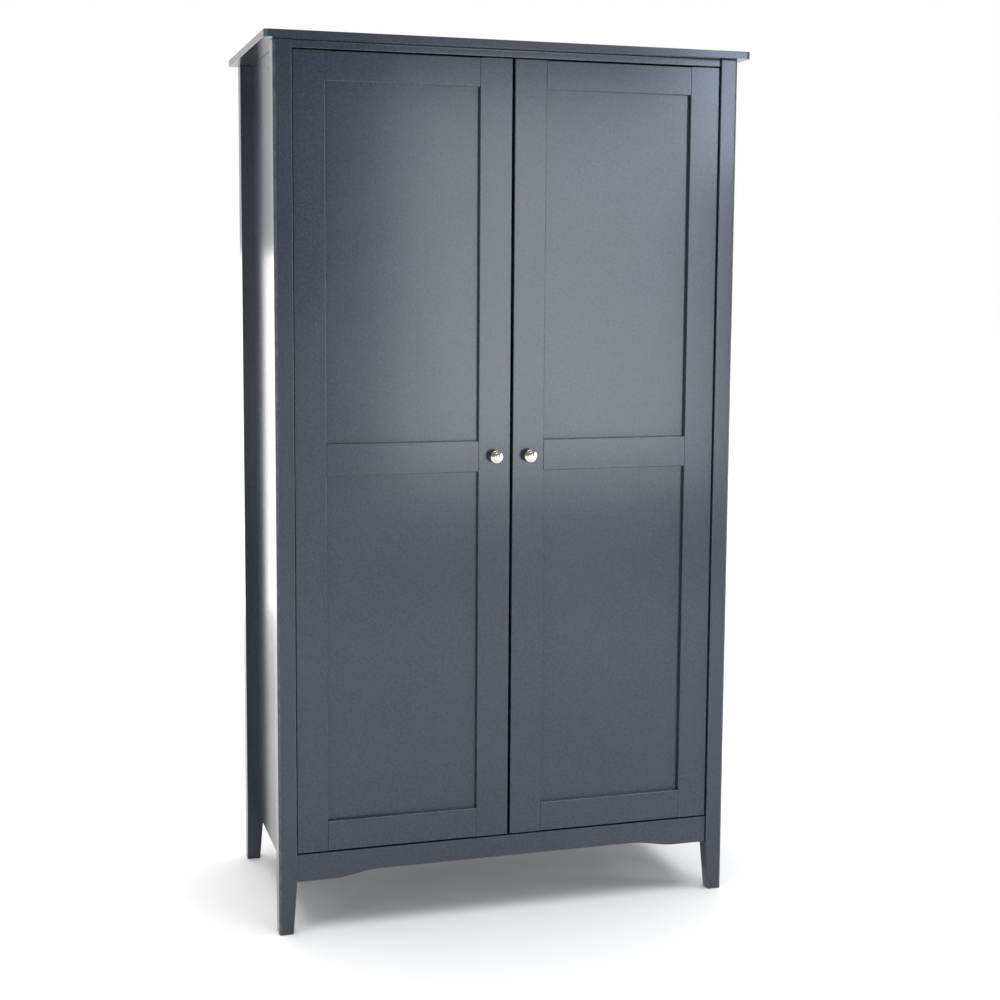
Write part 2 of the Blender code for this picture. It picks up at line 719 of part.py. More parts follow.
def make_catch(word, side, hinge):
    """The magnetic catch under the top rail, and the plate on the door that it holds."""
    catch_front = DOOR_BACK + SLIP + STRIKE_THICK + CATCH_GAP
    strike_x = mirrored_x(side, KNOB_X - STRIKE_LENGTH / 2, KNOB_X + STRIKE_LENGTH / 2)
    catch_x = mirrored_x(side, KNOB_X - CATCH_LENGTH / 2, KNOB_X + CATCH_LENGTH / 2)
    catch_top = FRONT_RAIL_UNDERSIDE - SLIP
    board(
        f"door_catch_{word}",
        (catch_x[0], catch_front, catch_top - CATCH_HEIGHT),
        (catch_x[1], catch_front + CATCH_DEPTH, catch_top),
        PLASTIC,
    )
    strike_top = DOOR_TOP - STRIKE_TOP_INSET
    board(
        f"{word}_strike_plate",
        (strike_x[0], DOOR_BACK + SLIP, strike_top - STRIKE_HEIGHT),
        (strike_x[1], DOOR_BACK + SLIP + STRIKE_THICK, strike_top),
        STEEL,
        hinge,
        arris=0.0,
    )


def main():
    for obj in list(bpy.data.objects):
        bpy.data.objects.remove(obj, do_unlink=True)
    new_collection("wardrobe")
    new_collection("cutters").hide_render = True
    make_carcass()
    make_hanging_space()
    for word, side in SIDES:
        make_door(word, side)
    bpy.context.view_layer.update()


main()
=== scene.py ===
"""The looks of a two-door wardrobe: satin-painted boards, polished knobs and plated fittings.

Metres, +Z up, the doors face -Y. Every place comes from the frame's own boxes, and every piece
is built where it stands, so a piece's own coordinates are the wardrobe's.
"""

import logging
import math
from dataclasses import dataclass
from enum import Enum
from typing import Iterable, Sequence

import bmesh
import bpy
from mathutils import Euler, Matrix, Vector


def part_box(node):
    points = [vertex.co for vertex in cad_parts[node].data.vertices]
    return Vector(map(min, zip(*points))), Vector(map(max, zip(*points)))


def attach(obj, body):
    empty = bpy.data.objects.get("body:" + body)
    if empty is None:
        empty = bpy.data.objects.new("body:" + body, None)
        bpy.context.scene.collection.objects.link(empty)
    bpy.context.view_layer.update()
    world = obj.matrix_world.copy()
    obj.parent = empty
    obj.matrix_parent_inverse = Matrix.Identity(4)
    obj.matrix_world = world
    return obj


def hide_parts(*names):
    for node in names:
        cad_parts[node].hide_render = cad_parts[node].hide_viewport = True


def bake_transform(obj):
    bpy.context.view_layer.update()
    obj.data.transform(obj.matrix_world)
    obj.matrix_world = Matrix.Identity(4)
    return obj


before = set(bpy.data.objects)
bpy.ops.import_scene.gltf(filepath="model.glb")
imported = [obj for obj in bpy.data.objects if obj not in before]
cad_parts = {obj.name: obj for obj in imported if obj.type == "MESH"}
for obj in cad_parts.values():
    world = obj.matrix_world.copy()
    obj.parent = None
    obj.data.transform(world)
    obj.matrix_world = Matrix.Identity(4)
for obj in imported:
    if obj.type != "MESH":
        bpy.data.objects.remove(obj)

LOG = logging.getLogger("wardrobe")
HAIR = 0.0003  # the hairline between two pieces that meet
WELD = 1e-6  # points closer than this are one
SAME_PLACE = 1e-7  # coordinates closer than this are level
SHARP_ANGLE = 38.0  # degrees; a steeper edge keeps a hard line
SQUARE_EDGE = 60.0  # degrees; a steeper edge is a square one
NOISE_ROUGHNESS = 0.55
SCREW_TURN = 37.0  # degrees from one screw's slot to the next one's
ARRIS_MARK = "arris"

Point2 = tuple[float, float]


class Axis(Enum):
    """A direction of the wardrobe, as the index of its coordinate."""

    X = 0
    Y = 1
    Z = 2


class Side(Enum):
    """Left or right, as someone facing the doors sees it."""

    LEFT = -1
    RIGHT = 1

    @property
    def word(self) -> str:
        """The side's name as the pieces are called."""
        return self.name.lower()


class Body(Enum):
    """What a piece moves with."""

    CARCASS = "carcass"
    LEFT_DOOR = "left_door"
    RIGHT_DOOR = "right_door"

    @classmethod
    def door(cls, side: Side) -> "Body":
        """The door on that side."""
        return cls.LEFT_DOOR if side is Side.LEFT else cls.RIGHT_DOOR


class Slot(Enum):
    """The record's finishes."""

    PAINT = "painted_wood"
    BACK = "back_board"
    CHROME = "chrome"
    STEEL = "plated_steel"
    PLASTIC = "plastic"


# ---------------------------------------------------------------------------------- finishes


class FinishGraph:
    """A material under construction: its node tree and the few steps that the finishes share."""

    def __init__(self, name: str) -> None:
        """Starts a material with a bare Principled shader.

        Args:
            name: the material's name.
        """
        self.material = bpy.data.materials.new(name)
        self.material.use_nodes = True
        self.tree = self.material.node_tree
        self.shader = self.tree.nodes["Principled BSDF"]
        self.coordinates = self.add("ShaderNodeTexCoord").outputs["Object"]

    def add(self, kind: str, **settings: object) -> bpy.types.Node:
        """Adds a node.

        Args:
            kind: Blender's name of the node's type.
            settings: attributes to set on it.

        Returns:
            The new node.
        """
        node = self.tree.nodes.new(kind)
        for key, value in settings.items():
            setattr(node, key, value)
        return node

    def join(self, start: bpy.types.NodeSocket, end: bpy.types.NodeSocket) -> None:
        """Links an output to an input."""
        self.tree.links.new(start, end)

    def stretched(self, scale: Sequence[float]) -> bpy.types.NodeSocket:
        """The piece's coordinates, scaled along each axis.

        Args:
            scale: how many units of pattern one metre holds along X, Y and Z.

        Returns:
            The vector output.
        """
        mapping = self.add("ShaderNodeMapping", vector_type="POINT")
        mapping.inputs["Scale"].default_value = tuple(scale)
        self.join(self.coordinates, mapping.inputs["Vector"])
        return mapping.outputs["Vector"]

    def noise(
        self, scale: float, detail: float, vector: bpy.types.NodeSocket | None = None
    ) -> bpy.types.NodeSocket:
        """A noise pattern from 0 to 1.

        Args:
            scale: how many grains one metre holds.
            detail: how many finer octaves lie on top.
            vector: coordinates other than the piece's plain ones.

        Returns:
            The grey output.
        """
        node = self.add("ShaderNodeTexNoise")
        node.inputs["Scale"].default_value = scale
        node.inputs["Detail"].default_value = detail
        node.inputs["Roughness"].default_value = NOISE_ROUGHNESS
        self.join(vector or self.coordinates, node.inputs["Vector"])
        return node.outputs["Fac"]

    def remap(self, value: bpy.types.NodeSocket, source: Point2, target: Point2) -> bpy.types.NodeSocket:
        """A value moved from one range to another, and held inside it.

        Args:
            value: the value to move.
            source: the range it comes in.
            target: the range it leaves in.

        Returns:
            The moved value.
        """
        node = self.add("ShaderNodeMapRange")
        bounds = zip(("From Min", "From Max", "To Min", "To Max"), (*source, *target))
        for socket, number in bounds:
            node.inputs[socket].default_value = number
        self.join(value, node.inputs["Value"])
        return node.outputs["Result"]

    def maths(
        self, operation: str, first: bpy.types.NodeSocket, second: bpy.types.NodeSocket | float
    ) -> bpy.types.NodeSocket:
        """One sum on two values.

        Args:
            operation: Blender's name of the sum.
            first: the first value.
            second: the second value, a socket or a number.

        Returns:
            The result.
        """
        node = self.add("ShaderNodeMath", operation=operation)
        self.join(first, node.inputs[0])
        if isinstance(second, (int, float)):
            node.inputs[1].default_value = second
        else:
            self.join(second, node.inputs[1])
        return node.outputs[0]

    def blend(
        self,
        share: bpy.types.NodeSocket,
        first: bpy.types.NodeSocket | Sequence[float],
        second: bpy.types.NodeSocket | Sequence[float],
    ) -> bpy.types.NodeSocket:
        """Two colours mixed by a share.

        Args:
            share: 0 for the first colour and 1 for the second.
            first: a colour or a colour output.
            second: a colour or a colour output.

        Returns:
            The mixed colour.
        """
        node = self.add("ShaderNodeMix", data_type="RGBA")
        self.join(share, node.inputs["Factor"])
        for name, colour in (("A", first), ("B", second)):
            socket = next(s for s in node.inputs if s.name == name and s.type == "RGBA")
            if isinstance(colour, bpy.types.NodeSocket):
                self.join(colour, socket)
            else:
                socket.default_value = (*colour, 1.0)
        return next(s for s in node.outputs if s.type == "RGBA")

    def relief(self, height: bpy.types.NodeSocket, strength: float, distance: float) -> None:
        """Raises the surface by a height pattern.

        Args:
            height: the pattern, from 0 to 1.
            strength: how strongly it shows.
            distance: how high a value of 1 stands, in metres.
        """
        bump = self.add("ShaderNodeBump")
        bump.inputs["Strength"].default_value = strength
        bump.inputs["Distance"].default_value = distance
        self.join(height, bump.inputs["Height"])
        self.join(bump.outputs["Normal"], self.shader.inputs["Normal"])

    def arrises(self) -> bpy.types.NodeSocket:
        """1 on the rounded edges of a piece and 0 on its flat faces."""
        return self.add("ShaderNodeAttribute", attribute_name=ARRIS_MARK).outputs["Fac"]

    def constants(self, **values: float) -> None:
        """Sets plain numbers on the shader's own sockets, words joined by underscores."""
        for name, value in values.items():
            self.shader.inputs[name.replace("_", " ")].default_value = value


@dataclass(frozen=True)
class SatinPaint:
    """Sprayed satin paint over sanded boards, with a trace of the grain underneath, and its rounded edges
    lightened as rubbed wear and as painted highlight.
    """

    colour: tuple[float, float, float] = (0.0265, 0.0360, 0.0520)
    # the lighter colour on the edges: rubbed paint, and painted highlight standing in for the light arris
    # lines
    rubbed_and_highlight: tuple[float, float, float] = (0.0850, 0.1020, 0.1280)
    roughness: float = 0.19
    lustre: float = 0.5
    colour_play: float = 0.36
    grain_pitch: float = 520.0
    grain_stretch: float = 9.0
    cloud_pitch: float = 4.5
    speckle_pitch: float = 380.0
    peel_pitch: float = 260.0
    wear_and_highlight_pitch: float = 38.0
    unevenness: float = 0.015
    grain_share: float = 0.15
    relief_strength: float = 0.16
    relief_height: float = 0.0003

    def material(self, grain: Axis) -> bpy.types.Material:
        """The paint on a piece whose grain runs along an axis.

        Args:
            grain: the direction of the grain.

        Returns:
            The material.
        """
        graph = FinishGraph(f"satin_slate_paint_{grain.name.lower()}")
        scale = [self.grain_pitch] * 3
        scale[grain.value] = self.grain_pitch / self.grain_stretch
        grain_lines = graph.noise(1.0, 3.0, graph.stretched(scale))
        clouds = graph.noise(self.cloud_pitch, 3.0)
        speckle = graph.noise(self.speckle_pitch, 1.5)
        peel = graph.noise(self.peel_pitch, 2.0)

        play = graph.maths("ADD", graph.remap(clouds, (0.3, 0.7), (0.0, 0.16)),
                           graph.remap(speckle, (0.3, 0.7), (0.0, 0.84)))
        low = tuple(c * (1 - self.colour_play) for c in self.colour)
        high = tuple(c * (1 + self.colour_play) for c in self.colour)
        coat = graph.blend(play, low, high)
        # rounded edges lightened in patches: partly rubbed paint, partly painted highlight in place of the
        # light arris lines
        wear_and_highlight = graph.maths("MULTIPLY", graph.arrises(),
                           graph.remap(graph.noise(self.wear_and_highlight_pitch, 4.0), (0.40, 0.72), (0.15, 0.85)))
        graph.join(graph.blend(wear_and_highlight, coat, self.rubbed_and_highlight), graph.shader.inputs["Base Color"])

        swing = (-self.unevenness, self.unevenness)
        uneven = graph.maths("ADD", graph.remap(clouds, (0.3, 0.7), swing),
                             graph.remap(grain_lines, (0.3, 0.7), swing))
        graph.join(graph.maths("ADD", uneven, self.roughness), graph.shader.inputs["Roughness"])
        height = graph.maths("ADD", graph.maths("MULTIPLY", grain_lines, self.grain_share), peel)
        graph.relief(height, self.relief_strength, self.relief_height)
        graph.constants(IOR=1.5, Specular_IOR_Level=self.lustre)
        return graph.material


@dataclass(frozen=True)
class PaintedHardboard:
    """Thin, matt paint over hardboard, with the board's fine fibres showing."""

    colour: tuple[float, float, float] = (0.055, 0.066, 0.082)
    fibre: tuple[float, float, float] = (0.082, 0.092, 0.108)
    roughness: float = 0.62

    def material(self) -> bpy.types.Material:
        """The material of the back.

        Returns:
            The material.
        """
        graph = FinishGraph("painted_hardboard")
        fibres = graph.noise(1.0, 6.0, graph.stretched((900.0, 900.0, 260.0)))
        patches = graph.noise(9.0, 4.0)
        mix = graph.maths("MULTIPLY", graph.remap(fibres, (0.35, 0.7), (0.0, 1.0)),
                          graph.remap(patches, (0.3, 0.7), (0.4, 1.0)))
        graph.join(graph.blend(mix, self.colour, self.fibre), graph.shader.inputs["Base Color"])
        graph.join(graph.remap(patches, (0.3, 0.7), (self.roughness - 0.05, self.roughness + 0.05)),
                   graph.shader.inputs["Roughness"])
        graph.relief(fibres, 0.25, 0.0004)
        graph.constants(IOR=1.48)
        return graph.material


@dataclass(frozen=True)
class BrightMetal:
    """A bare or plated metal, with a faint turned or rolled texture and handling marks."""

    name: str
    colour: tuple[float, float, float]
    roughness: float
    relief: float
    pitch: float = 900.0

    def material(self) -> bpy.types.Material:
        """The metal's material.

        Returns:
            The material.
        """
        graph = FinishGraph(self.name)
        smear = graph.noise(70.0, 4.0)
        grain = graph.noise(self.pitch, 3.0)
        dull = tuple(c * 0.86 for c in self.colour)
        graph.join(graph.blend(graph.remap(smear, (0.35, 0.75), (0.0, 1.0)), self.colour, dull),
                   graph.shader.inputs["Base Color"])
        low, high = self.roughness * 0.75, self.roughness * 1.5
        worn = graph.maths("ADD", graph.remap(smear, (0.3, 0.75), (low, high)),
                           graph.maths("MULTIPLY", graph.arrises(), 0.04))
        graph.join(worn, graph.shader.inputs["Roughness"])
        graph.relief(grain, self.relief, 0.0001)
        graph.constants(Metallic=1.0)
        return graph.material


@dataclass(frozen=True)
class MouldedPlastic:
    """Grey moulded plastic with a fine spark-eroded grain."""

    colour: tuple[float, float, float] = (0.055, 0.060, 0.066)
    roughness: float = 0.46

    def material(self) -> bpy.types.Material:
        """The plastic's material.

        Returns:
            The material.
        """
        graph = FinishGraph("moulded_grey_plastic")
        grain = graph.noise(1500.0, 2.0)
        clouds = graph.noise(30.0, 2.0)
        pale = tuple(c * 1.25 for c in self.colour)
        graph.join(graph.blend(clouds, self.colour, pale), graph.shader.inputs["Base Color"])
        graph.join(graph.remap(clouds, (0.3, 0.7), (self.roughness - 0.06, self.roughness + 0.06)),
                   graph.shader.inputs["Roughness"])
        graph.relief(grain, 0.3, 0.0002)
        graph.constants(IOR=1.46)
        return graph.material


@dataclass(frozen=True)
class Dress:
    """What a piece is finished in: its material, and the record's slot it comes from."""

    material: bpy.types.Material
    slot: Slot


class Finishes:
    """Every finish of the wardrobe, each made once."""

    def __init__(self) -> None:
        """Makes the materials."""
        paint = SatinPaint()
        self.paint = {grain: Dress(paint.material(grain), Slot.PAINT) for grain in Axis}
        self.back = Dress(PaintedHardboard().material(), Slot.BACK)
        nickel = BrightMetal("polished_nickel", (0.75, 0.70, 0.64), 0.08, 0.02)
        chrome = BrightMetal("bright_rail_chrome", (0.80, 0.81, 0.82), 0.09, 0.03)
        steel = BrightMetal("bright_zinc_plate", (0.62, 0.62, 0.61), 0.26, 0.12)
        self.nickel = Dress(nickel.material(), Slot.CHROME)
        self.chrome = Dress(chrome.material(), Slot.CHROME)
        self.steel = Dress(steel.material(), Slot.STEEL)
        self.plastic = Dress(MouldedPlastic().material(), Slot.PLASTIC)


# ---------------------------------------------------------------------------------- shaping


class Shaper:
    """Builds the closed forms that the pieces are made of."""

    FLAT = 0.985  # a face whose normal leans more than this from every axis is a rounded edge

    @staticmethod
    def block(low: Vector, high: Vector, arris: float, steps: int = 3) -> bmesh.types.BMesh:
        """A board between two corners, with all its edges rounded.

        Args:
            low: the lowest corner.
            high: the highest corner.
            arris: the radius of the edges, or 0 to leave them sharp.
            steps: how many faces round an edge.

        Returns:
            The board.
        """
        bm = bmesh.new()
        bmesh.ops.create_cube(bm, size=1.0)
        bmesh.ops.scale(bm, vec=high - low, verts=bm.verts)
        bmesh.ops.translate(bm, vec=(low + high) / 2, verts=bm.verts)
        if arris:
            Shaper.round_edges(bm, bm.edges[:], arris, steps)
        return bm

    @staticmethod
    def round_edges(
        bm: bmesh.types.BMesh, edges: Iterable[bmesh.types.BMEdge], radius: float, steps: int = 3
    ) -> None:
        """Rounds some edges of a form in place.

        Args:
            bm: the form.
            edges: its edges to round.
            radius: how round they become.
            steps: how many faces round an edge.
        """
        bmesh.ops.bevel(
            bm, geom=list(edges), offset=radius, segments=steps, profile=0.5,
            affect="EDGES", clamp_overlap=True,
        )

    @staticmethod
    def arc(centre: Point2, radius: float, start: float, end: float, steps: int) -> list[Point2]:
        """Points along an arc between two angles in degrees, both ends among them."""
        turns = [math.radians(start + (end - start) * i / steps) for i in range(steps + 1)]
        return [(centre[0] + radius * math.cos(a), centre[1] + radius * math.sin(a)) for a in turns]

    @staticmethod
    def rounded(width: float, height: float, radius: float, steps: int = 6) -> list[Point2]:
        """A rectangle round the origin with rounded corners, counter-clockwise.

        Args:
            width: its first side.
            height: its second side.
            radius: the radius of its corners.
            steps: how many stretches round a corner.

        Returns:
            The outline.
        """
        u, v = width / 2 - radius, height / 2 - radius
        corners = ((u, v, 0), (-u, v, 90), (-u, -v, 180), (u, -v, 270))
        return [p for x, y, a in corners for p in Shaper.arc((x, y), radius, a, a + 90, steps)]

    @staticmethod
    def loft(rings: Sequence[Sequence[Vector]]) -> bmesh.types.BMesh:
        """A closed form through rings of points, with a flat cap at each end.

        Args:
            rings: the rings, each with the same number of points.

        Returns:
            The form.
        """
        bm = bmesh.new()
        loops = [[bm.verts.new(point) for point in ring] for ring in rings]
        for first, second in zip(loops, loops[1:]):
            count = len(first)
            for i in range(count):
                j = (i + 1) % count
                bm.faces.new((first[i], first[j], second[j], second[i]))
        bm.faces.new(list(reversed(loops[0])))
        bm.faces.new(loops[-1])
        return bm

    @staticmethod
    def spread(axis: Axis, along: float, u: float, v: float) -> Vector:
        """A point from its place along an axis and its place across it, in X, Y, Z order.

        Args:
            axis: the axis.
            along: its place along the axis.
            u: its first place across.
            v: its second place across.

        Returns:
            The point.
        """
        point = [u, v]
        point.insert(axis.value, along)
        return Vector(point)

    @staticmethod
    def prism(outline: Sequence[Point2], axis: Axis, start: float, end: float) -> bmesh.types.BMesh:
        """An outline, in the order of the other two axes, carried along an axis as a solid."""
        rings = [[Shaper.spread(axis, a, u, v) for u, v in outline] for a in (start, end)]
        return Shaper.loft(rings)

    @staticmethod
    def ends_of(bm: bmesh.types.BMesh, axis: Axis) -> list[bmesh.types.BMEdge]:
        """The edges round the two end faces of a prism.

        Args:
            bm: the prism.
            axis: the axis it runs along.

        Returns:
            The edges.
        """
        places = [vert.co[axis.value] for vert in bm.verts]
        ends = (min(places), max(places))
        return [
            edge for edge in bm.edges
            if any(all(abs(v.co[axis.value] - end) < SAME_PLACE for v in edge.verts) for end in ends)
        ]

    @staticmethod
    def turned(profile: Sequence[Point2], steps: int = 64) -> bmesh.types.BMesh:
        """A turned form about the Z axis.

        Args:
            profile: (radius, height) points, from the axis round to the axis, or a closed loop.
            steps: how many faces go round.

        Returns:
            The form.
        """
        bm = bmesh.new()
        verts = [bm.verts.new((radius, 0.0, height)) for radius, height in profile]
        edges = [bm.edges.new(pair) for pair in zip(verts, verts[1:])]
        bmesh.ops.spin(
            bm, geom=verts + edges, cent=(0, 0, 0), axis=(0, 0, 1), angle=math.tau,
            steps=steps, use_merge=True,
        )
        bmesh.ops.remove_doubles(bm, verts=bm.verts, dist=WELD)
        return bm

    @staticmethod
    def aim(bm: bmesh.types.BMesh, place: Vector, direction: Vector, roll: float = 0.0) -> bmesh.types.BMesh:
        """Turns a form made along +Z towards a direction and puts it in place.

        Args:
            bm: the form.
            place: where its origin goes.
            direction: where its +Z goes.
            roll: a turn about its own axis first, in degrees.

        Returns:
            The same form.
        """
        turn = Vector(direction).to_track_quat("Z", "Y").to_matrix().to_4x4()
        spin = Matrix.Rotation(math.radians(roll), 4, "Z")
        bm.transform(Matrix.Translation(place) @ turn @ spin)
        return bm

    @staticmethod
    def gather(forms: Iterable[bmesh.types.BMesh]) -> bmesh.types.BMesh:
        """Several separate forms as one.

        Args:
            forms: the forms, which are used up.

        Returns:
            The gathered form.
        """
        gathered = bmesh.new()
        for form in forms:
            carried = bpy.data.meshes.new("carried")
            form.to_mesh(carried)
            form.free()
            gathered.from_mesh(carried)
            bpy.data.meshes.remove(carried)
        return gathered

    @staticmethod
    def combined(
        base: bmesh.types.BMesh, other: bmesh.types.BMesh, operation: str
    ) -> bmesh.types.BMesh:
        """Cuts one form from another, or joins them.

        Args:
            base: the form that stays.
            other: the cutter or the addition.
            operation: DIFFERENCE or UNION.

        Returns:
            The result; both forms are used up.
        """
        pair = []
        for form in (base, other):
            bmesh.ops.recalc_face_normals(form, faces=form.faces)
            mesh = bpy.data.meshes.new("part")
            form.to_mesh(mesh)
            form.free()
            obj = bpy.data.objects.new("part", mesh)
            bpy.context.scene.collection.objects.link(obj)
            pair.append(obj)
        step = pair[0].modifiers.new("combine", "BOOLEAN")
        step.operation = operation
        step.solver = "EXACT"
        step.object = pair[1]
        graph = bpy.context.evaluated_depsgraph_get()
        made = bpy.data.meshes.new_from_object(pair[0].evaluated_get(graph))
        result = bmesh.new()
        result.from_mesh(made)
        bmesh.ops.remove_doubles(result, verts=result.verts, dist=WELD)
        for obj in pair:
            mesh = obj.data
            bpy.data.objects.remove(obj)
            bpy.data.meshes.remove(mesh)
        bpy.data.meshes.remove(made)
        return result


class Bench:
    """Turns forms into finished pieces that ride on a body."""

    def __init__(self) -> None:
        """Starts with nothing on the bench."""
        self.made = 0

    def finish(
        self,
        name: str,
        form: bmesh.types.BMesh,
        dress: Dress,
        body: Body | None,
        stands_for: Sequence[str] = (),
    ) -> bpy.types.Object:
        """Makes a piece of a form.

        Args:
            name: the piece's name.
            form: the form, which is used up.
            dress: its finish.
            body: what it moves with, or None to leave the piece on no body.
            stands_for: the frame's nodes that it replaces.

        Returns:
            The piece.
        """
        bmesh.ops.recalc_face_normals(form, faces=form.faces)
        mesh = bpy.data.meshes.new(name)
        form.to_mesh(mesh)
        form.free()
        mesh.shade_smooth()
        mesh.set_sharp_from_angle(angle=math.radians(SHARP_ANGLE))
        self.mark_arrises(mesh)
        piece = bpy.data.objects.new(name, mesh)
        bpy.context.scene.collection.objects.link(piece)
        mesh.materials.append(dress.material)
        shading = piece.modifiers.new("even_shading", "WEIGHTED_NORMAL")
        shading.keep_sharp = True
        if body:
            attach(piece, body.value)
        if stands_for:
            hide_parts(*stands_for)
        self.made += 1
        LOG.info("%s: %d faces, %s", name, len(mesh.polygons), dress.material.name)
        return piece

    @staticmethod
    def mark_arrises(mesh: bpy.types.Mesh) -> None:
        """Marks the rounded edges, so that a finish can be rubbed there and the paint lightened there as
        painted highlight.

        Args:
            mesh: the piece's mesh.
        """
        mark = mesh.attributes.new(ARRIS_MARK, "FLOAT", "FACE")
        for face, value in zip(mesh.polygons, mark.data):
            value.value = float(max(abs(n) for n in face.normal) < Shaper.FLAT)

    def board(
        self, node: str, dress: Dress, body: Body, arris: float = 0.0012, steps: int = 3
    ) -> bpy.types.Object:
        """A planed board in the place of one of the frame's, its edges rounded by the arris."""
        form = Shaper.block(*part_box(node), arris, steps)
        return self.finish(f"{node}_finished", form, dress, body, [node])


# ---------------------------------------------------------------------------------- fastenings


@dataclass(frozen=True)
class PanScrew:
    """A small pan-head screw with a cross recess."""

    head: float = 0.0062
    rise: float = 0.0019
    recess: float = 0.0011
    blade: float = 0.0008

    def form(self, roll: float = 0.0) -> bmesh.types.BMesh:
        """The head, standing up from the origin.

        Args:
            roll: the turn of its cross, in degrees.

        Returns:
            The form.
        """
        radius = self.head / 2
        edge = self.rise * 0.45
        dome = Shaper.arc((0.0, edge), radius * 0.999, 0, 90, 7)
        profile = [(u, edge + (v - edge) * (self.rise - edge) / radius) for u, v in dome]
        head = Shaper.turned([(0.0, -0.0004), (radius, -0.0004), *profile[:-1], (0.0, self.rise)], 28)
        reach = self.head * 0.29
        for size in ((reach, self.blade / 2), (self.blade / 2, reach)):
            low = Vector((-size[0], -size[1], self.rise - self.recess))
            high = Vector((size[0], size[1], self.rise + 0.002))
            head = Shaper.combined(head, Shaper.block(low, high, 0.0), "DIFFERENCE")
        bmesh.ops.rotate(head, verts=head.verts, matrix=Matrix.Rotation(math.radians(roll), 3, "Z"))
        return head

    def set_of(
        self, places: Sequence[Vector], direction: Sequence[float], first_roll: float = 12.0
    ) -> bmesh.types.BMesh:
        """Several screws driven in one direction, each stopped at its own angle.

        Args:
            places: where each head sits.
            direction: where the heads look.
            first_roll: the turn of the first cross; each next one is turned on by 37 degrees.

        Returns:
            The gathered form.
        """
        pattern = bpy.data.meshes.new("screw_pattern")
        head = self.form()
        head.to_mesh(pattern)
        head.free()
        forms = []
        for number, place in enumerate(places):
            copy = bmesh.new()
            copy.from_mesh(pattern)
            forms.append(Shaper.aim(copy, place, Vector(direction), first_roll + SCREW_TURN * number))
        bpy.data.meshes.remove(pattern)
        return Shaper.gather(forms)


